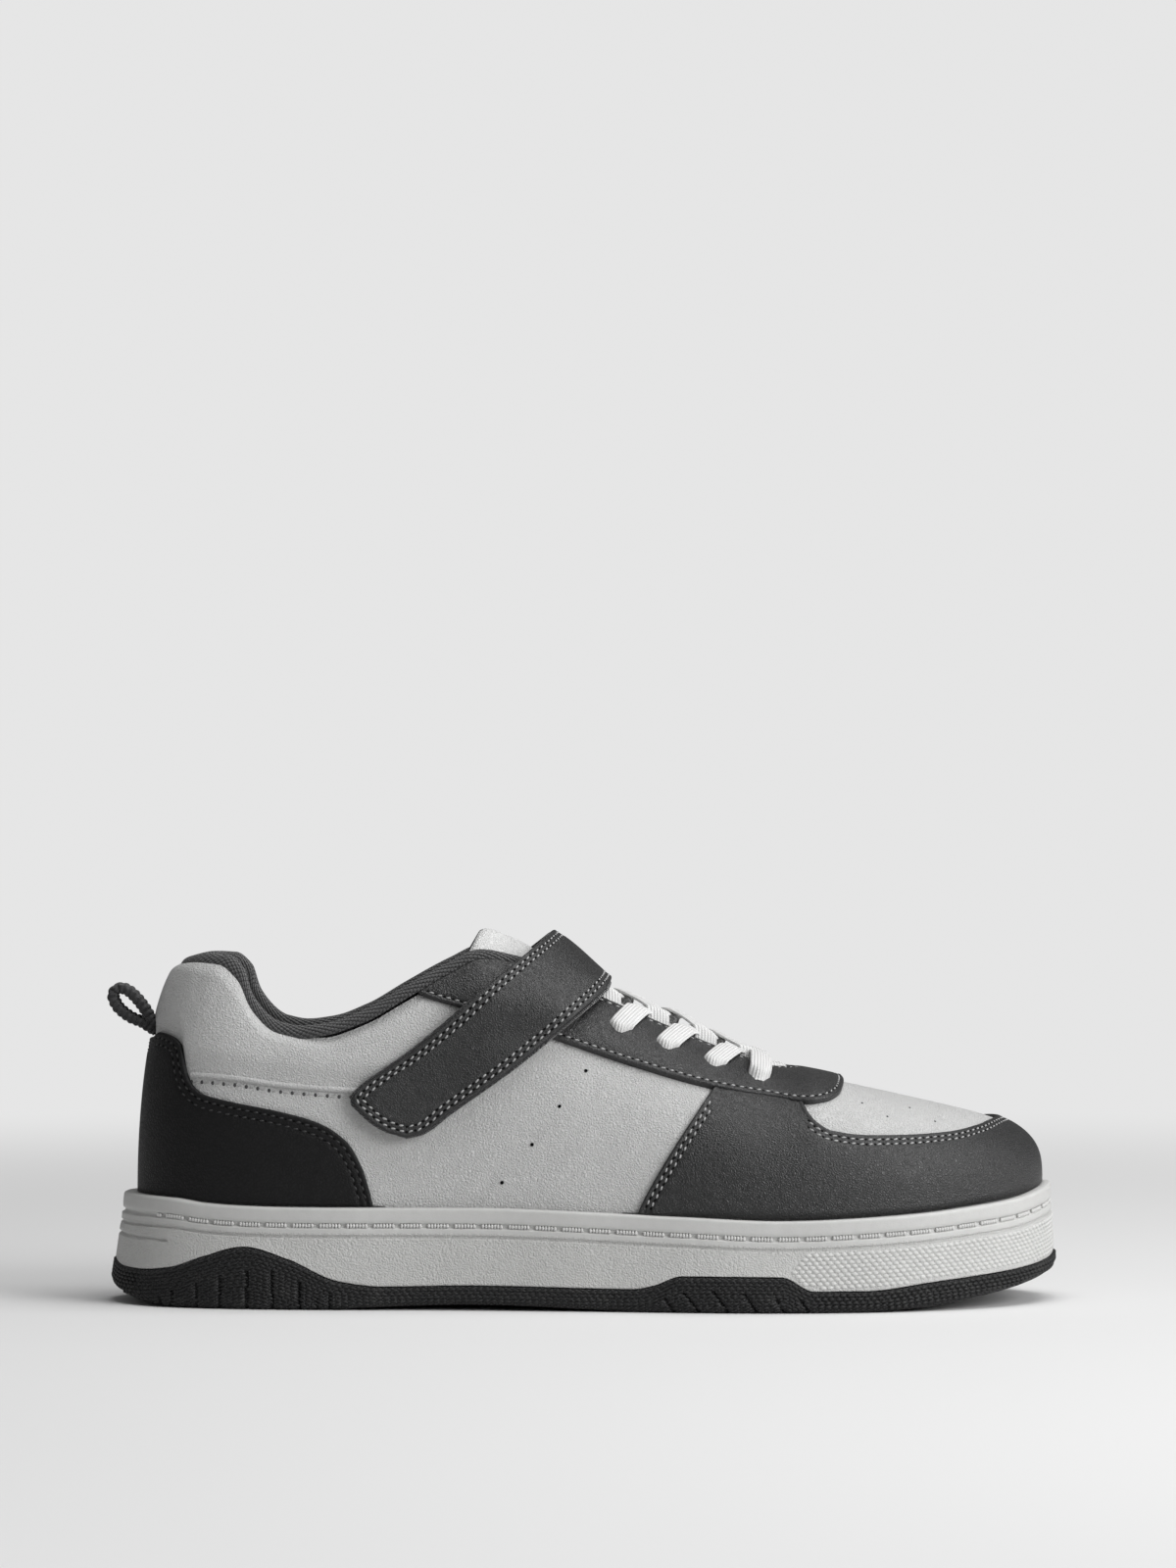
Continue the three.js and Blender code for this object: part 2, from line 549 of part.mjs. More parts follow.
/** The cup that holds the upper, with its band, two grooves and wave-edged side. */
function makeMidsole() {
  const below = (drop) => (round) => rimHeight(round) - drop;
  const seam = (round) => waveHeight(round) + GAP;
  const first = RIM_BAND + GROOVE_WIDTH;
  const second = first + LOWER_BAND + GROOVE_WIDTH;
  const lower = RIM_WALL + BAND_STEP;
  const side = lower + BAND_STEP;
  const core = RIM_WALL + SIDE_FLARE - OUTSOLE_WALL - GAP;
  return ringSolid([
    soleRow(GAP, bedHeight),
    soleRow(GAP, below(0)),
    soleRow(RIM_WALL - RIM_ROUND, below(0), 0.4),
    soleRow(RIM_WALL, below(RIM_ROUND), 0.4),
    soleRow(RIM_WALL, below(RIM_BAND), 0.6),
    soleRow(RIM_WALL - GROOVE_DEPTH, below(first - GROOVE_WIDTH / 2), 0.6),
    soleRow(lower, below(first), 0.6),
    soleRow(lower, below(first + LOWER_BAND), 0.65),
    soleRow(lower - GROOVE_DEPTH, below(second - GROOVE_WIDTH / 2), 0.65),
    soleRow(side, below(second), 0.65),
    soleRow(RIM_WALL + SIDE_FLARE, seam, 0.9),
    soleRow(core, seam, 0.9),
    soleRow(core, (round) => plateHeight(round) + GAP, 0.9),
  ]);
}

/** The rubber outsole: a plate with a wave-edged wall, cut across by its tread's grooves. */
function makeOutsole() {
  const outer = RIM_WALL + SIDE_FLARE + BAND_STEP;
  const inner = outer - OUTSOLE_WALL;
  const shoulder = (round) =>
    Math.min(groundHeight(round) + SHOULDER_HEIGHT, waveHeight(round) - SHOULDER_REACH);
  const body = ringSolid([
    soleRow(inner, plateHeight, 0.9),
    soleRow(inner, waveHeight, 0.9),
    soleRow(outer, waveHeight, 0.9),
    soleRow(outer + SHOULDER_REACH, shoulder, 1),
    soleRow(outer + SHOULDER_REACH - TREAD_INSET, groundHeight, 0.6),
  ]);
  const treads = [...spaced(0.1, 0.3, 6), ...spaced(0.56, 0.88, 8)];
  const cuts = treads.map((along) => {
    const box = new THREE.BoxGeometry(LUG_GROOVE, 2 * BALL_WIDTH, 2 * LUG_DEPTH);
    const round = Math.acos(1 - 2 * along) / Math.PI;
    box.translate(along * LAST_LENGTH, 0, groundHeight(round));
    return toSolid(box);
  });
  return cuts.reduce((left, cut) => left.subtract(cut), body);
}

function makeInsole() {
  const inset = -(UPPER_WALL + 2 * GAP);
  const low = (round) => bedHeight(round) + GAP;
  const high = (round) => low(round) + INSOLE_THICKNESS;
  return ringSolid([soleRow(inset, high), soleRow(inset, low)]);
}

/** The soft roll that binds the collar's edge, from one throat corner round the heel to the other. */
function makeBinding() {
  const corner = 17;
  const turns = spaced(-corner / COLUMNS, corner / COLUMNS, 2 * corner + 1);
  const count = 7;
  const points = [];
  for (const value of turns) {
    const turn = (value + 2) % 2;
    const edge = over(turn, 1, 0);
    const out = facing(turn, 1);
    const up = edge.clone().sub(over(turn, 0.94, 0)).normalize();
    const half = wall(turn, 1) / 2;
    for (let k = 0; k < count; k += 1) {
      const angle = (Math.PI * k) / (count - 1);
      const point = edge.clone().addScaledVector(out, half * Math.cos(angle) * 1.12 - half);
      points.push(point.addScaledVector(up, 1.7 * GAP + BINDING_HEIGHT * Math.sin(angle)));
    }
  }
  const triangles = [];
  const at = (i, k) => i * count + (k % count);
  for (let i = 0; i < turns.length - 1; i += 1) {
    for (let k = 0; k < count; k += 1) {
      triangles.push(...quad(at(i, k), at(i + 1, k), at(i + 1, k + 1), at(i, k + 1)));
    }
  }
  for (let k = 1; k < count - 1; k += 1) {
    triangles.push([at(0, 0), at(0, k), at(0, k + 1)]);
    triangles.push([at(turns.length - 1, 0), at(turns.length - 1, k + 1), at(turns.length - 1, k)]);
  }
  return solid(points, triangles);
}

/** Round at which the throat's edge has come to a share of the length. */
function roundAt(along) {
  let low = 0;
  let high = 1;
  for (let i = 0; i < 30; i += 1) {
    const middle = (low + high) / 2;
    if (topAlong(middle) < along * LAST_LENGTH) low = middle;
    else high = middle;
  }
  return low;
}

/** One flat lace from an eyelet on one side to one on the other, over the tongue. */
function makeLace(from, to, lift) {
  const under = GAP + PANEL + 1.5 * GAP;
  const surface = instep(laceCrown, () => under);
  const reach = EYELET_RISE;
  const acrosses = [reach, 0.9, 0.98, ...spaced(1.15, 1.85, 4), 2.02, 2.1, 3 - reach];
  const place = (a, b) => {
    const share = (b - reach) / (3 - 2 * reach);
    return surface(roundAt(from + (to - from) * share + (a * LACE_WIDTH) / LAST_LENGTH), b);
  };
  return sheet(place, [-0.5, 0.5], acrosses, () => lift, () => lift + LACE_THICKNESS);
}

/** All crossings of the lace, joined where they pass over each other. */
function makeLaces() {
  const laces = [makeLace(EYELETS[0], EYELETS[0], LACE_OVERLAP)];
  for (let i = 1; i < EYELETS.length; i += 1) {
    laces.push(makeLace(EYELETS[i - 1], EYELETS[i], 0));
    laces.push(makeLace(EYELETS[i], EYELETS[i - 1], LACE_OVERLAP));
  }
  return laces.reduce((left, lace) => left.add(lace)).simplify(0.01);
}

/** Place of the upper's back edge at a height. */
function backAt(height) {
  const rise = spaced(0, 1, 201).find((value) => face(0, value).z >= height);
  return face(0, rise).x;
}

/** The webbing pull loop at the heel, clear of the upper's back. */
function makePullLoop() {
  const seat = LOOP_SEAT * HEEL_HEIGHT;
  const sidePoint = ({ back, up }) => {
    const height = seat + up * LOOP_REACH;
    const foot = back < 0.1 ? backAt(height) : backAt(seat);
    return new THREE.Vector2(foot - GAP - back * LOOP_REACH, height);
  };
  const shape = new THREE.Shape(LOOP_OUTLINE.map(sidePoint));
  shape.holes.push(new THREE.Path(LOOP_HOLE.map(sidePoint)));
  const geometry = new THREE.ExtrudeGeometry(shape, { depth: LOOP_WIDTH, bevelEnabled: false });
  geometry.rotateX(Math.PI / 2);
  geometry.translate(0, LOOP_WIDTH / 2, 0);
  return toSolid(geometry);
}

/** A named mesh of a solid with its own finish. */
function mesh(name, body, color, roughness) {
  const { vertProperties, triVerts } = body.getMesh();
  const geometry = new THREE.BufferGeometry();
  geometry.setAttribute('position', new THREE.BufferAttribute(vertProperties, 3));
  geometry.setIndex(new THREE.BufferAttribute(triVerts, 1));
  geometry.computeVertexNormals();
  const material = new THREE.MeshStandardMaterial({ color, roughness, metalness: 0 });
  const piece = new THREE.Mesh(geometry, material);
  piece.name = name;
  return piece;
}

const WHITE_LEATHER = 0xe6e6e4;
const DARK_LEATHER = 0x35363a;
const OFF_WHITE_RUBBER = 0xd9d7d1;
const DARK_RUBBER = 0x2b2c2e;
const DARK_CLOTH = 0x26272a;
const WHITE_CORD = 0xf0f0ee;

const skin = panelShell(GAP, GAP + PANEL);
const shoe = new THREE.Group();
shoe.add(
  mesh('outsole', makeOutsole(), DARK_RUBBER, 0.8),
  mesh('midsole', makeMidsole(), OFF_WHITE_RUBBER, 0.6),
  mesh('insole', makeInsole(), DARK_CLOTH, 0.9),
  mesh('upper', makeUpper(), WHITE_LEATHER, 0.5),
  mesh('heel_counter', makeCounter(skin), DARK_LEATHER, 0.45),
  mesh('toe_mudguard', makeMudguard(skin), DARK_LEATHER, 0.45),
  mesh('eyestay', makeEyestay(skin), DARK_LEATHER, 0.45),
  mesh('quarter_seam_lateral', makeSeam(-BALL_WIDTH, 0), WHITE_LEATHER, 0.5),
  mesh('quarter_seam_medial', makeSeam(0, BALL_WIDTH), WHITE_LEATHER, 0.5),
  mesh('collar_binding', makeBinding(), DARK_CLOTH, 0.9),
  mesh('tongue', makeTongue(), WHITE_LEATHER, 0.5),
  mesh('strap', makeStrap(), DARK_LEATHER, 0.45),
  mesh('laces', makeLaces(), WHITE_CORD, 0.85),
  mesh('pull_loop', makePullLoop(), DARK_CLOTH, 0.9),
);

const bounds = new THREE.Box3().setFromObject(shoe);
const centre = bounds.getCenter(new THREE.Vector3());
shoe.position.set(-centre.x, -centre.y, -bounds.min.z);

export default shoe;
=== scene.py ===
"""Low-top sneaker, a right shoe: soft surfaces, stitching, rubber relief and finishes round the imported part.

Lengths are millimetres until a mesh is made; the frame is metres, +X to the toe, -Y the lateral side.
A place on the shoe is told by "turn", 0 to 1 along the lateral side from heel to toe and 1 to 2 back
along the medial side, and by "rise", 0 at the sole's rim and 1 at the upper's top edge or ridge.
"""

import logging
import math
from dataclasses import dataclass
from enum import Enum
from functools import cached_property
from typing import Callable, Iterable, NamedTuple, Sequence

import bmesh
import bpy
import numpy as np
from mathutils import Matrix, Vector


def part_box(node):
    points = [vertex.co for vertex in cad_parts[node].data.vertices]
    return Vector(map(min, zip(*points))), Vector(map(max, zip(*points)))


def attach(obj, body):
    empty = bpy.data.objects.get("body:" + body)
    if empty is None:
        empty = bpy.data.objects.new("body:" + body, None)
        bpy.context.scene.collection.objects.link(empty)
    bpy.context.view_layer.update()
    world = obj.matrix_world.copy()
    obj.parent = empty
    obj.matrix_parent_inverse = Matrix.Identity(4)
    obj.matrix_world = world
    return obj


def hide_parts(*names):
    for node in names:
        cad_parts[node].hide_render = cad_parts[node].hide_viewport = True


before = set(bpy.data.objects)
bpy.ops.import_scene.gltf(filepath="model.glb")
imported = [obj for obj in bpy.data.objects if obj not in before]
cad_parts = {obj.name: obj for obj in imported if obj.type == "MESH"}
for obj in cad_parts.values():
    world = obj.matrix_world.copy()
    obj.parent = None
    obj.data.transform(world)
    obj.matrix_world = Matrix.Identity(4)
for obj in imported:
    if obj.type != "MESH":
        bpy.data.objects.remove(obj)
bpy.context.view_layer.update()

Array = np.ndarray
Fn = Callable[[Array], Array]
MM = 0.001
LOG = logging.getLogger("low_top_sneaker")


class Side(Enum):
    """The shoe's two sides: the lateral one faces the camera."""

    LATERAL = -1
    MEDIAL = 1


class Slot(Enum):
    """The record's material slots."""

    DARK_RUBBER = "dark_rubber"
    WHITE_RUBBER = "white_rubber"
    WHITE_LEATHER = "white_leather"
    DARK_LEATHER = "dark_leather"
    DARK_CLOTH = "dark_cloth"
    DARK_WEBBING = "dark_webbing"
    WHITE_LACE = "white_lace"


class PlanRow(NamedTuple):
    """The last's outline at the rim, as shares of the ball's width."""

    round: float
    centre: float
    lateral: float
    medial: float


class TopRow(NamedTuple):
    """The upper's top edge, and how its wall bends on the way up to it."""

    round: float
    along: float
    out: float
    up: float
    arc: float
    full: float
    fall: float = 0.0


class SoleRow(NamedTuple):
    """Heights of the sole as shares of its own height, and its share of the heel's kick."""

    round: float
    rim: float
    wave: float
    bed: float
    ground: float
    kick: float = 0.0


class CrownRow(NamedTuple):
    """Crown of what bridges the throat, as shares of the heel's height."""

    round: float
    strap: float
    tongue: float
    lace: float


class EdgeRow(NamedTuple):
    """A point of a panel's edge in the side view: shares of the last's length and the heel's height."""

    along: float
    up: float


PLAN = (
    PlanRow(0, 0, 0.68, 0.68),
    PlanRow(0.1, 0, 0.647, 0.647),
    PlanRow(0.2, 0, 0.55, 0.55),
    PlanRow(0.3, -0.002, 0.458, 0.45),
    PlanRow(0.4, 0, 0.402, 0.353),
    PlanRow(0.5, 0.002, 0.435, 0.371),
    PlanRow(0.6, 0.006, 0.524, 0.488),
    PlanRow(0.7, 0.024, 0.61, 0.586),
    PlanRow(0.8, 0.059, 0.69, 0.64),
    PlanRow(0.86, 0.071, 0.725, 0.66),
    PlanRow(1, 0.076, 0.74, 0.7),
)
HEEL_TOP = (
    TopRow(0, 0.046, 0, 0.991, 80, 2),
    TopRow(0.05, 0.051, 0.095, 0.994, 80, 2),
    TopRow(0.1, 0.067, 0.165, 1, 78, 2),
    TopRow(0.15, 0.092, 0.218, 0.995, 76, 2.05),
    TopRow(0.185, 0.113, 0.25, 0.95, 72, 2.1),
    TopRow(0.215, 0.127, 0.268, 0.87, 68, 2.1),
    TopRow(0.25, 0.156, 0.288, 0.8, 64, 2.2),
    TopRow(0.3, 0.206, 0.306, 0.78, 60, 2.3),
    TopRow(0.34, 0.25, 0.306, 0.815, 60, 2.3),
    TopRow(0.38, 0.298, 0.294, 0.885, 62, 2.3),
    TopRow(0.41, 0.344, 0.265, 0.955, 64, 2.3),
    TopRow(0.435, 0.381, 0.24, 0.997, 64, 2.3),
    TopRow(0.46, 0.419, 0.215, 0.98, 64, 2.3),
)
INSTEP_TOP = (
    TopRow(0.5, 0.498, 0.195, 1, 64, 2.4),
    TopRow(0.55, 0.577, 0.17, 0.895, 66, 2.5),
    TopRow(0.6, 0.656, 0.135, 0.797, 68, 2.6, 0.04),
    TopRow(0.635, 0.702, 0.085, 0.75, 76, 2.7, 0.14),
)
THROAT_FRONT = 24 / 36
TOE_TOP = (
    TopRow(THROAT_FRONT, 0.733, 0, 1.16, 90, 2.8, 0.22),
    TopRow(0.75, 0.777, 0, 1.116, 90, 2.9, 0.22),
    TopRow(0.85, 0.835, 0, 1.056, 90, 3.2, 0.22),
    TopRow(1, 0.89, 0, 1, 90, 3.4, 0.22),
)
SOLE = (
    SoleRow(0, 1.074, 0.43, 0.63, 0.17, 1),
    SoleRow(0.06, 1.07, 0.36, 0.63, 0.09, 0.85),
    SoleRow(0.1, 1.068, 0.35, 0.63, 0.03, 0.6),
    SoleRow(0.14, 1.06, 0.38, 0.62, 0, 0.35),
    SoleRow(0.185, 1.02, 0.5, 0.62, 0, 0.12),
    SoleRow(0.23, 1, 0.6, 0.62, 0),
    SoleRow(0.272, 0.992, 0.48, 0.61, 0),
    SoleRow(0.315, 0.99, 0.27, 0.6, 0.01),
    SoleRow(0.35, 0.99, 0.22, 0.58, 0.03),
    SoleRow(0.42, 0.99, 0.235, 0.54, 0.055),
    SoleRow(0.53, 0.94, 0.215, 0.48, 0.005),
    SoleRow(0.545, 0.93, 0.25, 0.48, 0),
    SoleRow(0.565, 0.92, 0.345, 0.47, 0),
    SoleRow(0.635, 0.885, 0.34, 0.46, 0),
    SoleRow(0.66, 0.89, 0.2, 0.46, 0),
    SoleRow(0.7, 0.91, 0.2, 0.46, 0.004),
    SoleRow(0.76, 0.95, 0.27, 0.48, 0.04),
    SoleRow(0.81, 0.995, 0.315, 0.51, 0.11),
    SoleRow(0.87, 1.045, 0.36, 0.55, 0.19),
    SoleRow(0.94, 1.12, 0.42, 0.59, 0.28),
    SoleRow(1, 1.16, 0.48, 0.62, 0.36),
)
CROWN = (
    CrownRow(0.42, 0.1, 0.14, 0.06),
    CrownRow(0.46, 0.1, 0.118, 0.06),
    CrownRow(0.48, 0.079, 0.091, 0.04),
    CrownRow(0.515, 0.014, 0.045, 0.008),
    CrownRow(0.56, 0.014, 0.055, 0.018),
    CrownRow(0.6, 0.014, 0.038, 0.002),
    CrownRow(0.66, 0.01, 0.03, 0),
)
COUNTER_EDGE = (
    EdgeRow(-0.05, 0.768), EdgeRow(0.015, 0.768), EdgeRow(0.026, 0.788),
    EdgeRow(0.04, 0.778), EdgeRow(0.05, 0.755), EdgeRow(0.056, 0.68),
    EdgeRow(0.063, 0.64), EdgeRow(0.076, 0.614), EdgeRow(0.098, 0.599),
    EdgeRow(0.16, 0.567), EdgeRow(0.2, 0.538), EdgeRow(0.231, 0.487),
    EdgeRow(0.25, 0.406), EdgeRow(0.264, 0.28), EdgeRow(0.272, 0.2),
)
MUDGUARD_EDGE = (
    EdgeRow(0.53, 0.17), EdgeRow(0.546, 0.25), EdgeRow(0.56, 0.33), EdgeRow(0.587, 0.452),
    EdgeRow(0.609, 0.54), EdgeRow(0.631, 0.622), EdgeRow(0.638, 0.645), EdgeRow(0.686, 0.625),
    EdgeRow(0.728, 0.605), EdgeRow(0.738, 0.56), EdgeRow(0.747, 0.534), EdgeRow(0.762, 0.512),
    EdgeRow(0.802, 0.498), EdgeRow(0.847, 0.496), EdgeRow(0.892, 0.5), EdgeRow(0.925, 0.512),
    EdgeRow(0.951, 0.525), EdgeRow(1.05, 0.53),
)
EYESTAY_EDGE = (
    EdgeRow(0.283, 0.928), EdgeRow(0.326, 0.887), EdgeRow(0.36, 0.862),
    EdgeRow(0.46, 0.774), EdgeRow(0.54, 0.702), EdgeRow(0.633, 0.632),
    EdgeRow(0.686, 0.606), EdgeRow(0.735, 0.588), EdgeRow(0.757, 0.594),
    EdgeRow(0.772, 0.61), EdgeRow(0.783, 0.65), EdgeRow(0.79, 0.69),
)
STRAP_REAR = (
    EdgeRow(0.301, 0.493), EdgeRow(0.278, 0.511), EdgeRow(0.262, 0.536), EdgeRow(0.249, 0.566),
    EdgeRow(0.24, 0.595), EdgeRow(0.24, 0.612), EdgeRow(0.246, 0.633), EdgeRow(0.304, 0.747),
    EdgeRow(0.351, 0.847), EdgeRow(0.399, 0.953), EdgeRow(0.434, 1.025), EdgeRow(0.456, 1.075),
    EdgeRow(0.476, 1.13),
)
STRAP_FRONT = (
    EdgeRow(0.301, 0.493), EdgeRow(0.3126, 0.501), EdgeRow(0.345, 0.562), EdgeRow(0.423, 0.709),
    EdgeRow(0.471, 0.814), EdgeRow(0.507, 0.892), EdgeRow(0.519, 0.925), EdgeRow(0.528, 1.02),
    EdgeRow(0.53, 1.13),
)
SEAM_EDGE = (
    EdgeRow(0.061, 0.679), EdgeRow(0.102, 0.673), EdgeRow(0.167, 0.651), EdgeRow(0.25, 0.638),
)
EYELETS = (0.683, 0.633, 0.58, 0.529, 0.466)
HOLES = (
    (118.7, 62.5), (111.8, 53.3), (104.6, 43.3), (96.7, 33.3),
    (191.6, 53.6), (198.1, 50.2), (204.5, 52.0), (211.0, 48.6),
)


def smooth(value: Array, low: float, high: float) -> Array:
    """Soft step: 3t^2 - 2t^3 of the share t of the way from low to high.

    Args:
        value: where it is asked.
        low: the step's start.
        high: the step's end.

    Returns:
        0 before the step, 1 after it.
    """
    t = np.clip((value - low) / (high - low), 0.0, 1.0)
    return t * t * (3 - 2 * t)


def bell(value: Array, centre: float, width: float) -> Array:
    """Bell exp(-((value - centre) / width)^2)."""
    return np.exp(-(((value - centre) / width) ** 2))


def trough(distance: Array, half: float) -> Array:
    """A flat-bottomed channel: exp(-(d / half)^4) of the distance from its middle."""
    return np.exp(-((distance / half) ** 4))


def unit(vectors: Array) -> Array:
    """The vectors at length one."""
    return vectors / np.maximum(np.linalg.norm(vectors, axis=-1, keepdims=True), 1e-12)


def bisect(test: Fn, low: Array, high: Array, steps: int = 32) -> Array:
    """Where test changes from below zero to above it, by halving the interval.

    Args:
        test: a function that rises through zero between low and high.
        low: the lower ends.
        high: the upper ends.
        steps: how often the interval is halved.

    Returns:
        The crossing of each interval.
    """
    low = np.array(low, float)
    high = np.array(high, float)
    for _ in range(steps):
        middle = (low + high) / 2
        below = test(middle) < 0
        low = np.where(below, middle, low)
        high = np.where(below, high, middle)
    return (low + high) / 2


class Column:
    """Smooth curve through one column of a table: cubic pieces whose slopes don't overshoot."""

    def __init__(self, at: Sequence[float], value: Sequence[float], level_ends: bool = True) -> None:
        """Works out each row's slope as the harmonic mean of its two neighbours' slopes.

        Args:
            at: the rows' places, rising.
            value: the rows' values.
            level_ends: whether the curve is level at its ends, where it meets its mirror image.
        """
        self.at = np.array(at, float)
        self.value = np.array(value, float)
        slope = np.diff(self.value) / np.diff(self.at)
        before = slope[:-1]
        after = slope[1:]
        same = before * after > 0
        total = np.where(same, before + after, 1.0)
        inner = np.where(same, 2 * before * after / total, 0.0)
        ends = (0.0, 0.0) if level_ends else (slope[0], slope[-1])
        self.slope = np.concatenate(([ends[0]], inner, [ends[1]]))

    def __call__(self, where: Array) -> Array:
        """Value of the curve.

        Args:
            where: places, held to the table's range.

        Returns:
            The cubic through the two rows around each place.
        """
        place = np.clip(where, self.at[0], self.at[-1])
        i = np.clip(np.searchsorted(self.at, place) - 1, 0, len(self.at) - 2)
        width = self.at[i + 1] - self.at[i]
        t = (place - self.at[i]) / width
        left = self.value[i] * (1 + 2 * t) * (1 - t) ** 2 + self.slope[i] * width * t * (1 - t) ** 2
        return left + self.value[i + 1] * t * t * (3 - 2 * t) + self.slope[i + 1] * width * t * t * (t - 1)


def column(table: Sequence[NamedTuple], name: str, scale: float = 1.0, level_ends: bool = True) -> Column:
    """Curve through a named column of a table whose rows have a round."""
    at = [row.round for row in table]
    return Column(at, [getattr(row, name) * scale for row in table], level_ends)


class Surface:
    """A surface of two parameters that knows its own normals and distances."""

    step: tuple[float, float] = (0.002, 0.004)

    def point(self, a: Array, b: Array) -> Array:
        """Place on the surface."""
        raise NotImplementedError

    def slopes(self, a: Array, b: Array) -> tuple[Array, Array]:
        """Central differences along both parameters.

        Args:
            a: first parameter.
            b: second parameter.

        Returns:
            Change of the place with a, and with b.
        """
        da, db = self.step
        along = (self.point(a + da, b) - self.point(a - da, b)) / (2 * da)
        across = (self.point(a, b + db) - self.point(a, b - db)) / (2 * db)
        return along, across

    def normal(self, a: Array, b: Array) -> Array:
        """Outward direction: the cross product of the two slopes."""
        along, across = self.slopes(a, b)
        return unit(np.cross(along, across))

    def lifted(self, a: Array, b: Array, lift: Array | float) -> Array:
        """A point at a height over the surface."""
        return self.point(a, b) + self.normal(a, b) * np.asarray(lift)[..., None]

    def inset(self, a: Array, b: Array, distance: float, closed: bool = False) -> tuple[Array, Array]:
        """Moves a curve sideways within the surface, to the left of its run.

        The sideways direction is normal x tangent; its share of each parameter comes from the two by two
        system of the slopes' products, in three steps.

        Args:
            a: the curve's first parameter.
            b: the curve's second parameter.
            distance: how far, in millimetres.
            closed: whether the curve is a loop.

        Returns:
            The moved curve's parameters.
        """
        steps = 3
        for _ in range(steps):
            along, across = self.slopes(a, b)
            run = tangents(self.point(a, b), closed)
            aside = unit(np.cross(unit(np.cross(along, across)), run)) * distance / steps
            aa = (along * along).sum(-1)
            bb = (across * across).sum(-1)
            ab = (along * across).sum(-1)
            va = (aside * along).sum(-1)
            vb = (aside * across).sum(-1)
            det = np.maximum(aa * bb - ab * ab, 1e-9)
            a = a + (va * bb - vb * ab) / det
            b = b + (vb * aa - va * ab) / det
        return a, b


def tangents(points: Array, closed: bool = False) -> Array:
    """Unit direction of a run of points at each of them.

    Args:
        points: n places.
        closed: whether the last place is followed by the first.

    Returns:
        n directions, by central differences.
    """
    if closed:
        return unit(np.roll(points, -1, axis=0) - np.roll(points, 1, axis=0))
    return unit(np.gradient(points, axis=0))


def lengths(points: Array) -> Array:
    """Length of a run of points from its start to each of them."""
    return np.concatenate(([0.0], np.cumsum(np.linalg.norm(np.diff(points, axis=0), axis=1))))


def from_line(points: Array, line: Array) -> Array:
    """Shortest way from each point of a grid to a run of closely set points."""
    return np.stack([np.sqrt(((row[:, None] - line[None]) ** 2).sum(-1).min(axis=1)) for row in points])


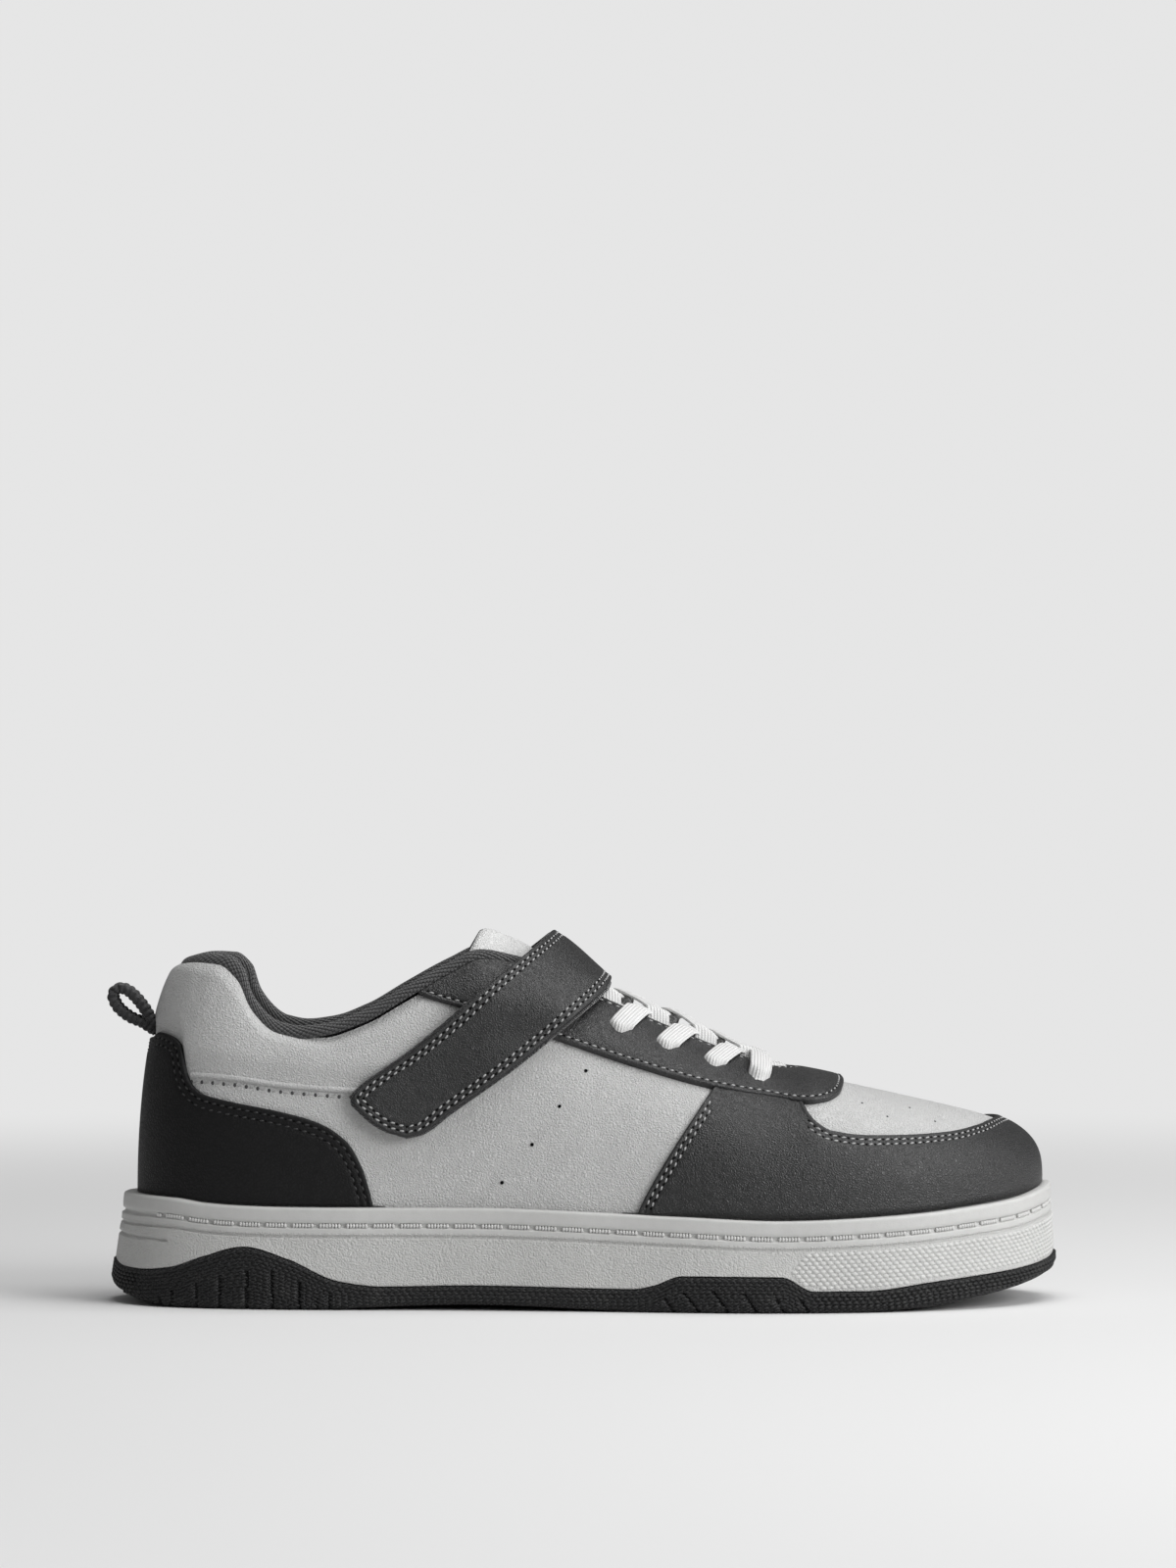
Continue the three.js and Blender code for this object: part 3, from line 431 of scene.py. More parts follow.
@dataclass(frozen=True)
class Last(Surface):
    """The shape that the shoe is built on, from the same sizes and tables as the part's source."""

    length: float = 240.0
    ball_width: float = 85.0
    heel_height: float = 91.0
    instep_height: float = 81.5
    toe_height: float = 52.0
    sole_height: float = 27.0
    heel_kick: float = 3.2
    upper_wall: float = 2.0
    collar_wall: float = 4.4
    gap: float = 0.3
    step: tuple[float, float] = (0.004, 0.01)

    @cached_property
    def shift(self) -> Array:
        """From the last's heel to the frame's origin, read off two of the frame's nodes."""
        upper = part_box("upper")
        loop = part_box("pull_loop")
        return np.array([upper[0].x / MM, (loop[0].y + loop[1].y) / 2 / MM, 0.0])

    @cached_property
    def plan(self) -> dict[str, Column]:
        """Curves of the outline at the rim."""
        return {name: column(PLAN, name, self.ball_width) for name in ("centre", "lateral", "medial")}

    @cached_property
    def top(self) -> dict[str, Column]:
        """Curves of the top edge and the bend."""
        rows = HEEL_TOP + INSTEP_TOP + TOE_TOP
        at = [row.round for row in rows]
        heights = [self.heel_height] * len(HEEL_TOP)
        heights += [self.instep_height] * len(INSTEP_TOP)
        heights += [self.toe_height] * len(TOE_TOP)
        return {
            "along": column(rows, "along", self.length),
            "out": column(rows, "out", self.ball_width, False),
            "up": Column(at, [row.up * height for row, height in zip(rows, heights)]),
            "arc": column(rows, "arc", math.pi / 180),
            "full": column(rows, "full"),
            "fall": column(rows, "fall"),
        }

    @cached_property
    def sole(self) -> dict[str, Column]:
        """Curves of the sole's heights."""
        made = {name: column(SOLE, name, self.sole_height) for name in ("rim", "wave", "bed", "ground")}
        made["kick"] = column(SOLE, "kick", self.heel_kick)
        return made

    @cached_property
    def crown(self) -> dict[str, Column]:
        """Curves of the crowns over the throat."""
        return {name: column(CROWN, name, self.heel_height) for name in ("strap", "tongue", "lace")}

    def split(self, turn: Array) -> tuple[Array, Array]:
        """Round and side of a turn: (turn, -1) up to 1, and (2 - turn, 1) beyond it."""
        turn = np.mod(turn, 2.0)
        return np.where(turn <= 1, turn, 2 - turn), np.where(turn <= 1, -1.0, 1.0)

    def outline(self, turn: Array) -> Array:
        """The outline at the rim: x = length (1 - cos(pi round)) / 2, y = centre + side half sin(pi round).

        Args:
            turn: where.

        Returns:
            Places in plan, in millimetres.
        """
        around, side = self.split(turn)
        half = np.where(side < 0, self.plan["lateral"](around), self.plan["medial"](around))
        x = self.length * (1 - np.cos(np.pi * around)) / 2
        y = self.plan["centre"](around) + side * half * np.sin(np.pi * around)
        return np.stack([x, y], axis=-1)

    def grown(self, turn: Array, grow: Array | float) -> Array:
        """The outline moved outwards in plan by grow."""
        step = 0.004
        run = self.outline(turn + step) - self.outline(turn - step)
        out = unit(np.stack([run[..., 1], -run[..., 0]], axis=-1))
        return self.outline(turn) + out * np.asarray(grow)[..., None]

    def point(self, a: Array, b: Array) -> Array:
        """The upper's outer face: from foot to top by 1 - cos^p inwards and sin^p upwards, p = 2 / full.

        Args:
            a: turn.
            b: rise.

        Returns:
            Places on the face.
        """
        turn, rise = np.broadcast_arrays(np.asarray(a, float), np.asarray(b, float))
        around, side = self.split(turn)
        foot = self.outline(turn)
        rise = np.clip(rise, 0.0, 1.0)
        arc = self.top["arc"](around)
        power = 2 / self.top["full"](around)
        inwards = (1 - np.maximum(np.cos(arc * rise), 0) ** power) / (1 - np.maximum(np.cos(arc), 0) ** power)
        upwards = (np.sin(arc * rise) / np.sin(arc)) ** power
        top_x = self.top["along"](around)
        top_y = self.plan["centre"](around) + side * self.top["out"](around)
        x = foot[..., 0] + (top_x - foot[..., 0]) * inwards
        y = foot[..., 1] + (top_y - foot[..., 1]) * inwards
        base = self.sole["rim"](around) + self.gap
        high = self.top["up"](around) - self.top["fall"](around) * (x - top_x)
        return np.stack([x, y, base + (high - base) * upwards], axis=-1)

    def normal(self, a: Array, b: Array) -> Array:
        """Outward direction of the face, kept clear of the rim and the ridge where the slopes vanish."""
        along, across = self.slopes(a, np.clip(b, 0.02, 0.97))
        return unit(np.cross(along, across))

    def wall(self, turn: Array, rise: Array) -> Array:
        """Thickness of the upper, which grows into the collar's padding near the top edge."""
        around, _ = self.split(turn)
        padded = 1 - smooth(around, 0.44, 0.52)
        return self.upper_wall + (self.collar_wall - self.upper_wall) * padded * smooth(rise, 0.45, 0.85)

    def rise_at(self, turn: Array, edge: Column) -> Array:
        """Rise at which the face, at each turn, comes up to an edge drawn in the side view.

        Args:
            turn: where.
            edge: height over the side view's length.

        Returns:
            The rise, 0 to 1, found by halving.
        """

        def over_edge(rise: Array) -> Array:
            place = self.point(turn, rise)
            return place[..., 2] - edge(place[..., 0])

        return bisect(over_edge, np.zeros_like(turn), np.ones_like(turn))

    def seen_at(self, x: Array, z: Array) -> tuple[Array, Array]:
        """Lateral turn and rise of the places that the side view shows at x and z, both by halving."""

        def rise(turn: Array) -> Array:
            return bisect(lambda r: self.point(turn, r)[..., 2] - z, np.zeros_like(x), np.ones_like(x))

        def past(turn: Array) -> Array:
            return self.point(turn, rise(turn))[..., 0] - x

        turn = bisect(past, np.full_like(x, 0.05), np.full_like(x, 0.97))
        return turn, rise(turn)

    def round_at(self, along: Array | float) -> Array:
        """Round at which the top edge has come to a share of the length."""
        goal = np.asarray(along, float) * self.length
        return bisect(lambda r: self.top["along"](r) - goal, np.zeros_like(goal), np.ones_like(goal))


LAST = Last()


def side_edge(rows: Sequence[EdgeRow]) -> Column:
    """Height over length of an edge in the side view."""
    return Column([r.along * LAST.length for r in rows], [r.up * LAST.heel_height for r in rows])


def side_edge_by_height(rows: Sequence[EdgeRow]) -> Column:
    """Length over height of an edge in the side view."""
    return Column([r.up * LAST.heel_height for r in rows], [r.along * LAST.length for r in rows], False)


@dataclass(frozen=True)
class Instep(Surface):
    """Surface over the instep from side to side, with a lift over the last that varies.

    Its second parameter, across, is the lateral rise up to 1, the way between the throat's edges from
    1 to 2, where a crown of 4m(1 - m) is added, and three less the medial rise beyond 2.
    """

    crown: Column
    lift: Callable[[Array, Array], Array]
    sweep: Callable[[Array, Array], Array] | None = None

    def point(self, a: Array, b: Array) -> Array:
        """Place on the surface.

        Args:
            a: round.
            b: across.

        Returns:
            Places on the bridging surface.
        """
        a, b = np.broadcast_arrays(np.asarray(a, float), np.asarray(b, float))
        if self.sweep is not None:
            a = a - self.sweep(a, b)
        near_rise = np.minimum(b, 1.0)
        far_rise = np.minimum(3 - b, 1.0)
        near = LAST.lifted(a, near_rise, self.lift(a, near_rise))
        far = LAST.lifted(2 - a, far_rise, self.lift(a, far_rise))
        middle = np.clip(b - 1, 0.0, 1.0)
        place = near * (1 - middle)[..., None] + far * middle[..., None]
        place = np.where((b < 1)[..., None], near, np.where((b > 2)[..., None], far, place))
        rise = self.crown(a) * 4 * middle * (1 - middle)
        place[..., 2] += np.where((b >= 1) & (b <= 2), rise, 0.0)
        return place


@dataclass
class Sheetwork:
    """Points, faces, and what each point carries, of one piece before it becomes a mesh."""

    points: Array
    faces: Array
    uv: Array | None = None
    edge: Array | None = None
    part: Array | None = None

    def flipped(self) -> "Sheetwork":
        """The same with its faces turned over."""
        return Sheetwork(self.points, self.faces[:, ::-1], self.uv, self.edge, self.part)

    def facing(self, outward: Array) -> "Sheetwork":
        """The same, turned over if its faces look against the given directions at its points."""
        a, b, c, d = (self.points[self.faces[:, k]] for k in range(4))
        normals = np.cross(c - a, d - b)
        towards = outward[self.faces[:, 0]]
        return self if (normals * towards).sum() > 0 else self.flipped()

    def closed_out(self) -> "Sheetwork":
        """The same, turned over if the volume inside its faces comes out below zero."""
        a, b, c, d = (self.points[self.faces[:, k]] for k in range(4))
        volume = (np.cross(a, b) * c).sum() + (np.cross(a, c) * d).sum()
        return self if volume > 0 else self.flipped()


def grid_faces(rows: int, columns: int, wrap_rows: bool = False, wrap_columns: bool = False) -> Array:
    """Four-cornered faces of a grid of points numbered row by row.

    Args:
        rows: how many rows of points.
        columns: how many points in a row.
        wrap_rows: whether the last row joins the first.
        wrap_columns: whether the last column joins the first.

    Returns:
        Four point numbers for each face.
    """
    i = np.arange(rows if wrap_rows else rows - 1)[:, None]
    j = np.arange(columns if wrap_columns else columns - 1)[None, :]
    ahead = (i + 1) % rows
    aside = (j + 1) % columns
    quads = [i * columns + j, ahead * columns + j, ahead * columns + aside, i * columns + aside]
    return np.stack(np.broadcast_arrays(*quads), axis=-1).reshape(-1, 4)


def grid(points: Array, uv: Array | None = None, edge: Array | None = None, **wraps: bool) -> Sheetwork:
    """A grid of points (rows, columns, 3) as sheetwork, with its faces."""
    rows, columns = points.shape[:2]
    return Sheetwork(
        points.reshape(-1, 3),
        grid_faces(rows, columns, **wraps),
        None if uv is None else uv.reshape(-1, 2),
        None if edge is None else np.broadcast_to(edge, (rows, columns)).reshape(-1),
    )


def joined(parts: Sequence[Sheetwork]) -> Sheetwork:
    """Several pieces of sheetwork as one, each with its own number in part.

    Args:
        parts: the pieces.

    Returns:
        One piece; a missing uv or edge is filled with zeros or ones.
    """
    counts = np.cumsum([0] + [len(p.points) for p in parts])
    return Sheetwork(
        np.concatenate([p.points for p in parts]),
        np.concatenate([p.faces + start for p, start in zip(parts, counts)]),
        np.concatenate([np.zeros((len(p.points), 2)) if p.uv is None else p.uv for p in parts]),
        np.concatenate([np.full(len(p.points), 9.0) if p.edge is None else p.edge for p in parts]),
        np.concatenate([np.full(len(p.faces), k) for k, p in enumerate(parts)]),
    )


def piece(name: str, work: Sheetwork, materials: Sequence[bpy.types.Material],
          replaces: Iterable[str] = (), weld: float = 0.0) -> bpy.types.Object:
    """Makes the mesh object of a piece, at the origin, and lets it ride on the shoe.

    Args:
        name: the piece's name.
        work: its points and faces, in millimetres from the last's heel.
        materials: one material for each number in the work's part, or one for all.
        replaces: the CAD nodes that it stands for.
        weld: distance in millimetres within which points are merged, or 0.

    Returns:
        The object.
    """
    mesh = bpy.data.meshes.new(name)
    corners = work.faces
    whole = np.all(corners != np.roll(corners, 1, axis=1), axis=1)
    corners = corners[whole]
    mesh.from_pydata(((work.points + LAST.shift) * MM).tolist(), [], corners.tolist())
    for material in materials:
        mesh.materials.append(material)
    mesh.polygons.foreach_set("use_smooth", np.ones(len(corners), bool))
    if work.part is not None and len(materials) > 1:
        mesh.polygons.foreach_set("material_index", work.part[whole].astype(np.int32))
    if work.uv is not None:
        layer = mesh.uv_layers.new(name="Surface")
        layer.data.foreach_set("uv", (work.uv[corners.reshape(-1)] * 0.01).ravel())
    if work.edge is not None:
        values = mesh.attributes.new("edge_distance", "FLOAT", "POINT")
        values.data.foreach_set("value", work.edge.astype(np.float32))
    mesh.update()
    made = bpy.data.objects.new(name, mesh)
    bpy.context.scene.collection.objects.link(made)
    if weld > 0:
        weld_points(made, weld * MM)
    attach(made, "root")
    for node in replaces:
        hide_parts(node)
    LOG.info("%s: %d faces", name, len(mesh.polygons))
    return made


def weld_points(made: bpy.types.Object, distance: float) -> None:
    """Merges points closer than distance, in metres, so that seams and poles are closed."""
    work = bmesh.new()
    work.from_mesh(made.data)
    bmesh.ops.remove_doubles(work, verts=work.verts, dist=distance)
    bmesh.ops.dissolve_degenerate(work, edges=work.edges, dist=distance / 10)
    work.to_mesh(made.data)
    work.free()


class Canvas:
    """A short way of placing and joining nodes in one tree."""

    def __init__(self, tree: bpy.types.NodeTree) -> None:
        """Keeps the tree that the nodes go in."""
        self.tree = tree

    def node(self, kind: str, **settings: object) -> bpy.types.Node:
        """Places a node and sets its own properties."""
        made = self.tree.nodes.new(kind)
        for name, value in settings.items():
            setattr(made, name, value)
        return made

    def feed(self, socket: bpy.types.NodeSocket, value: object) -> None:
        """Gives an input a number, a colour or another node's output."""
        if isinstance(value, bpy.types.NodeSocket):
            self.tree.links.new(value, socket)
        elif isinstance(value, tuple) and len(value) == 3 and socket.type == "RGBA":
            socket.default_value = (*value, 1.0)
        else:
            socket.default_value = value

    def math(self, operation: str, *values: object, clamp: bool = False) -> bpy.types.NodeSocket:
        """Result of a Math node."""
        made = self.node("ShaderNodeMath", operation=operation, use_clamp=clamp)
        for socket, value in zip(made.inputs, values):
            self.feed(socket, value)
        return made.outputs[0]

    def vector(self, operation: str, *values: object) -> bpy.types.NodeSocket:
        """Result of a Vector Math node."""
        made = self.node("ShaderNodeVectorMath", operation=operation)
        for socket, value in zip(made.inputs, values):
            self.feed(socket, value)
        return made.outputs[0]

    def scaled(self, vector: object, scale: object) -> bpy.types.NodeSocket:
        """A vector times a number."""
        made = self.node("ShaderNodeVectorMath", operation="SCALE")
        self.feed(made.inputs[0], vector)
        self.feed(made.inputs["Scale"], scale)
        return made.outputs[0]

    def noise(self, vector: object, scale: object, detail: float = 2.0,
              rough: float = 0.5) -> bpy.types.NodeSocket:
        """Noise, 0 to 1."""
        made = self.node("ShaderNodeTexNoise")
        self.feed(made.inputs["Vector"], vector)
        self.feed(made.inputs["Scale"], scale)
        made.inputs["Detail"].default_value = detail
        made.inputs["Roughness"].default_value = rough
        return made.outputs["Fac"]

    def cells(self, vector: object, scale: object, feature: str = "F1") -> bpy.types.NodeSocket:
        """Distance to the nearest cell point, or to the nearest cell edge."""
        made = self.node("ShaderNodeTexVoronoi", feature=feature)
        self.feed(made.inputs["Vector"], vector)
        self.feed(made.inputs["Scale"], scale)
        return made.outputs["Distance"]

    def remap(self, value: object, low: object, high: object, out_low: object = 0.0,
              out_high: object = 1.0) -> bpy.types.NodeSocket:
        """Smooth step of value from low to high, brought to another range."""
        made = self.node("ShaderNodeMapRange", interpolation_type="SMOOTHSTEP")
        for socket, given in zip(made.inputs, (value, low, high, out_low, out_high)):
            self.feed(socket, given)
        return made.outputs[0]

    def blend(self, share: object, first: object, second: object, how: str = "MIX") -> bpy.types.NodeSocket:
        """Mix of two colours."""
        made = self.node("ShaderNodeMix", data_type="RGBA", blend_type=how)
        self.feed(made.inputs[0], share)
        self.feed(made.inputs[6], first)
        self.feed(made.inputs[7], second)
        return made.outputs[2]

    def attribute(self, name: str) -> bpy.types.NodeSocket:
        """A number carried by the mesh's points."""
        return self.node("ShaderNodeAttribute", attribute_name=name).outputs["Fac"]

    def place(self) -> bpy.types.NodeSocket:
        """Object coordinates, in metres."""
        return self.node("ShaderNodeTexCoord").outputs["Object"]

    def surface(self) -> bpy.types.NodeSocket:
        """The piece's own map, in decimetres along and across it."""
        return self.node("ShaderNodeUVMap", uv_map="Surface").outputs["UV"]

    def bump(self, height: object, depth: float, strength: float = 1.0,
             under: object | None = None) -> bpy.types.NodeSocket:
        """Normal of a relief whose full height is depth, in metres."""
        made = self.node("ShaderNodeBump")
        made.inputs["Strength"].default_value = strength
        made.inputs["Distance"].default_value = depth
        self.feed(made.inputs["Height"], height)
        if under is not None:
            self.feed(made.inputs["Normal"], under)
        return made.outputs["Normal"]


class Group(Enum):
    """Effects that more than one finish uses."""

    GRAIN = "leather_grain"
    KNIT = "knitted_cloth"
    RIBS = "woven_ribs"
    PEBBLE = "rubber_pebble"
    AGE = "handling_marks"


def new_group(kind: Group, takes: dict[str, tuple[str, float]], gives: dict[str, str]) -> Canvas:
    """Makes an empty node group with named sockets.

    Args:
        kind: which group.
        takes: inputs, each with its socket type and value.
        gives: outputs, each with its socket type.

    Returns:
        The canvas of its tree; its input and output nodes are named "in" and "out".
    """
    tree = bpy.data.node_groups.new(kind.value, "ShaderNodeTree")
    for name, (socket, value) in takes.items():
        made = tree.interface.new_socket(name=name, in_out="INPUT", socket_type=f"NodeSocket{socket}")
        if socket == "Float":
            made.default_value = value
    for name, socket in gives.items():
        tree.interface.new_socket(name=name, in_out="OUTPUT", socket_type=f"NodeSocket{socket}")
    canvas = Canvas(tree)
    canvas.node("NodeGroupInput", name="in")
    canvas.node("NodeGroupOutput", name="out")
    return canvas


def grain_group() -> None:
    """Pebbled leather: flat cells parted by fine creases, over softer swells."""
    c = new_group(
        Group.GRAIN,
        {"Vector": ("Vector", 0), "Scale": ("Float", 1500), "Softness": ("Float", 0.3)},
        {"Height": "Float", "Crease": "Float"},
    )
    into = c.tree.nodes["in"].outputs
    bent = c.node("ShaderNodeTexNoise")
    c.feed(bent.inputs["Vector"], into["Vector"])
    c.feed(bent.inputs["Scale"], c.math("MULTIPLY", into["Scale"], 0.35))
    wander = c.scaled(c.vector("SUBTRACT", bent.outputs["Color"], (0.5, 0.5, 0.5)), 0.0012)
    place = c.vector("ADD", into["Vector"], wander)
    coarse = c.cells(place, into["Scale"], "DISTANCE_TO_EDGE")
    fine = c.cells(place, c.math("MULTIPLY", into["Scale"], 2.1), "DISTANCE_TO_EDGE")
    flat = c.remap(coarse, 0.0, into["Softness"])
    small = c.remap(fine, 0.0, into["Softness"])
    swell = c.noise(into["Vector"], c.math("MULTIPLY", into["Scale"], 0.2), 3.0)
    height = c.math("ADD", c.math("MULTIPLY", flat, 0.55), c.math("MULTIPLY", small, 0.2))
    height = c.math("ADD", height, c.math("MULTIPLY", swell, 0.5))
    out = c.tree.nodes["out"].inputs
    c.feed(out["Height"], height)
    c.feed(out["Crease"], c.math("SUBTRACT", 1.0, flat))


def knit_group() -> None:
    """Knitted mesh: rows of loops, each a tilted ellipse of its own cell, half offset from row to row."""
    c = new_group(
        Group.KNIT,
        {"Vector": ("Vector", 0), "Scale": ("Float", 90), "Fuzz": ("Float", 0.3)},
        {"Height": "Float", "Gap": "Float"},
    )
    into = c.tree.nodes["in"].outputs
    wave = c.scaled(into["Vector"], into["Scale"])
    parts = c.node("ShaderNodeSeparateXYZ")
    c.feed(parts.inputs[0], wave)
    row = c.math("FLOOR", parts.outputs["Y"])
    shifted = c.math("ADD", parts.outputs["X"], c.math("MULTIPLY", row, 0.5))
    across = c.math("SUBTRACT", c.math("FRACT", shifted), 0.5)
    along = c.math("SUBTRACT", c.math("FRACT", parts.outputs["Y"]), 0.5)
    tilted = c.math("ADD", across, c.math("MULTIPLY", along, 0.35))
    longer = c.math("MULTIPLY", c.math("MULTIPLY", along, along), 0.8)
    far = c.math("ADD", c.math("MULTIPLY", tilted, tilted), longer)
    loop = c.remap(far, 0.24, 0.02)
    fuzz = c.noise(wave, 3.0, 3.0, 0.7)
    out = c.tree.nodes["out"].inputs
    c.feed(out["Height"], c.math("ADD", loop, c.math("MULTIPLY", fuzz, into["Fuzz"])))
    c.feed(out["Gap"], c.math("SUBTRACT", 1.0, loop))


def ribs_group() -> None:
    """Woven tape: ribs across or along it, |sin| in profile, broken by the threads that pass over them."""
    c = new_group(
        Group.RIBS,
        {"Vector": ("Vector", 0), "Ribs": ("Float", 120), "Threads": ("Float", 160), "Fuzz": ("Float", 0.25)},
        {"Height": "Float", "Gap": "Float"},
    )
    into = c.tree.nodes["in"].outputs
    parts = c.node("ShaderNodeSeparateXYZ")
    c.feed(parts.inputs[0], into["Vector"])
    ribs = c.math("MULTIPLY", parts.outputs["Y"], into["Ribs"])
    rib = c.math("ABSOLUTE", c.math("SINE", c.math("MULTIPLY", ribs, math.pi)))
    offset = c.math("MULTIPLY", c.math("FLOOR", ribs), 0.5)
    threads = c.math("ADD", c.math("MULTIPLY", parts.outputs["X"], into["Threads"]), offset)
    thread = c.math("ABSOLUTE", c.math("SINE", c.math("MULTIPLY", threads, math.pi)))
    fuzz = c.noise(c.scaled(into["Vector"], into["Threads"]), 2.0, 3.0, 0.7)
    body = c.math("MULTIPLY", rib, c.math("ADD", 0.7, c.math("MULTIPLY", thread, 0.3)))
    out = c.tree.nodes["out"].inputs
    c.feed(out["Height"], c.math("ADD", body, c.math("MULTIPLY", fuzz, into["Fuzz"])))
    c.feed(out["Gap"], c.math("SUBTRACT", 1.0, body, clamp=True))


def pebble_group() -> None:
    """Moulded rubber: fine rounded pebbles over a faint swell."""
    c = new_group(
        Group.PEBBLE,
        {"Vector": ("Vector", 0), "Scale": ("Float", 1300)},
        {"Height": "Float"},
    )
    into = c.tree.nodes["in"].outputs
    cells = c.cells(into["Vector"], into["Scale"], "SMOOTH_F1")
    swell = c.noise(into["Vector"], c.math("MULTIPLY", into["Scale"], 0.3), 3.0)
    round_top = c.math("SUBTRACT", 1.0, cells)
    c.feed(c.tree.nodes["out"].inputs["Height"], c.math("ADD", round_top, c.math("MULTIPLY", swell, 0.2)))


def age_group() -> None:
    """Handling marks: broad tone, fine mottle, and a faint grime that gathers low on the shoe."""
    c = new_group(
        Group.AGE,
        {"Vector": ("Vector", 0), "Amount": ("Float", 1.0)},
        {"Tone": "Float", "Grime": "Float", "Rub": "Float"},
    )
    into = c.tree.nodes["in"].outputs
    broad = c.noise(into["Vector"], 28.0, 3.0)
    mottle = c.noise(into["Vector"], 420.0, 4.0, 0.6)
    tone = c.math("ADD", c.math("MULTIPLY", broad, 0.6), c.math("MULTIPLY", mottle, 0.4))
    swing = c.math("MULTIPLY", c.math("SUBTRACT", tone, 0.5), into["Amount"])
    parts = c.node("ShaderNodeSeparateXYZ")
    c.feed(parts.inputs[0], into["Vector"])
    low = c.remap(parts.outputs["Z"], 0.03, 0.0)
    patches = c.remap(c.noise(into["Vector"], 160.0, 5.0, 0.65), 0.5, 0.75)
    rub = c.remap(c.noise(into["Vector"], 75.0, 6.0, 0.7), 0.62, 0.78)
    out = c.tree.nodes["out"].inputs
    c.feed(out["Tone"], c.math("ADD", 1.0, swing))
    c.feed(out["Grime"], c.math("MULTIPLY", c.math("MULTIPLY", low, patches), into["Amount"]))
    c.feed(out["Rub"], c.math("MULTIPLY", rub, into["Amount"]))


def make_groups() -> None:
    """Builds every shared node group once."""
    for make in (grain_group, knit_group, ribs_group, pebble_group, age_group):
        make()


def use_group(c: Canvas, kind: Group, **values: object) -> bpy.types.bpy_prop_collection:
    """Places a shared group in a material.

    Args:
        c: the material's canvas.
        kind: which group.
        values: its inputs by name.

    Returns:
        Its outputs.
    """
    made = c.node("ShaderNodeGroup", node_tree=bpy.data.node_groups[kind.value])
    for name, value in values.items():
        c.feed(made.inputs[name], value)
    return made.outputs


@dataclass(frozen=True)
class Finish:
    """What every finish has: its name, colour and roughness."""

    name: str
    colour: tuple[float, float, float]
    rough: float = 0.5
    coat: float = 0.0
    sheen: float = 0.0
    specular: float = 0.5

    def toned(self, factor: float) -> tuple[float, ...]:
        """The finish's colour, darker or lighter."""
        return tuple(min(value * factor, 1.0) for value in self.colour)

    def start(self) -> tuple[bpy.types.Material, Canvas, bpy.types.Node]:
        """A new material with its canvas and its Principled BSDF, whose plain numbers are set."""
        material = bpy.data.materials.new(self.name)
        material.use_nodes = True
        material.diffuse_color = (*self.colour, 1.0)
        canvas = Canvas(material.node_tree)
        shader = material.node_tree.nodes["Principled BSDF"]
        shader.inputs["Coat Weight"].default_value = self.coat
        shader.inputs["Coat Roughness"].default_value = 0.35
        shader.inputs["Sheen Weight"].default_value = self.sheen
        shader.inputs["Specular IOR Level"].default_value = self.specular
        return material, canvas, shader


@dataclass(frozen=True)
class Leather(Finish):
    """Pebbled leather or its coated cloth twin."""

    grain: float = 1500.0
    depth: float = 0.00006
    crease_tone: float = 0.8
    # tone near the edges; above one, on the dark leathers, it paints a highlight on the rolled rims
    edge_tone: float = 0.8
    rub_tone: float = 1.1

    def material(self) -> bpy.types.Material:
        """Builds the material: grain in the bump, tone in the creases, a tone near the edges that on the dark
        leathers is lighter as a painted highlight along their rolled rims, and rubbed patches.
        """
        material, c, shader = self.start()
        place = c.place()
        grain = use_group(c, Group.GRAIN, Vector=place, Scale=self.grain, Softness=0.32)
        age = use_group(c, Group.AGE, Vector=place, Amount=0.12)
        colour = c.blend(grain["Crease"], self.colour, self.toned(self.crease_tone))
        colour = c.blend(c.math("MULTIPLY", age["Rub"], 0.5), colour, self.toned(self.rub_tone))
        # lighter near the edges on the dark leathers: a painted highlight on the rolled rims
        near_edge = c.remap(c.attribute("edge_distance"), 0.0, 0.55, 1.0, 0.0)
        colour = c.blend(near_edge, colour, self.toned(self.edge_tone))
        c.feed(shader.inputs["Base Color"], c.scaled(colour, age["Tone"]))
        rough = c.math("ADD", c.math("MULTIPLY", grain["Crease"], 0.15), self.rough)
        rough = c.math("ADD", rough, c.math("MULTIPLY", age["Rub"], -0.06), clamp=True)
        c.feed(shader.inputs["Roughness"], rough)
        swell = c.noise(place, 90.0, 2.0)
        soft = c.bump(swell, 0.0005, 0.5)
        c.feed(shader.inputs["Normal"], c.bump(grain["Height"], self.depth, 1.0, soft))
        return material


@dataclass(frozen=True)
class Knit(Finish):
    """Knitted mesh lining and binding, mapped along the surface."""

    stitches: float = 90.0
    gap_tone: float = 0.35
    depth: float = 0.00035

    def material(self) -> bpy.types.Material:
        """Builds the material: loops in the bump, dark between them, with a soft sheen."""
        material, c, shader = self.start()
        knit = use_group(c, Group.KNIT, Vector=c.surface(), Scale=self.stitches, Fuzz=0.3)
        age = use_group(c, Group.AGE, Vector=c.place(), Amount=0.6)
        colour = c.blend(knit["Gap"], self.colour, self.toned(self.gap_tone))
        c.feed(shader.inputs["Base Color"], c.scaled(colour, age["Tone"]))
        c.feed(shader.inputs["Roughness"], c.math("ADD", self.rough, c.math("MULTIPLY", knit["Gap"], 0.08)))
        c.feed(shader.inputs["Normal"], c.bump(knit["Height"], self.depth))
        return material


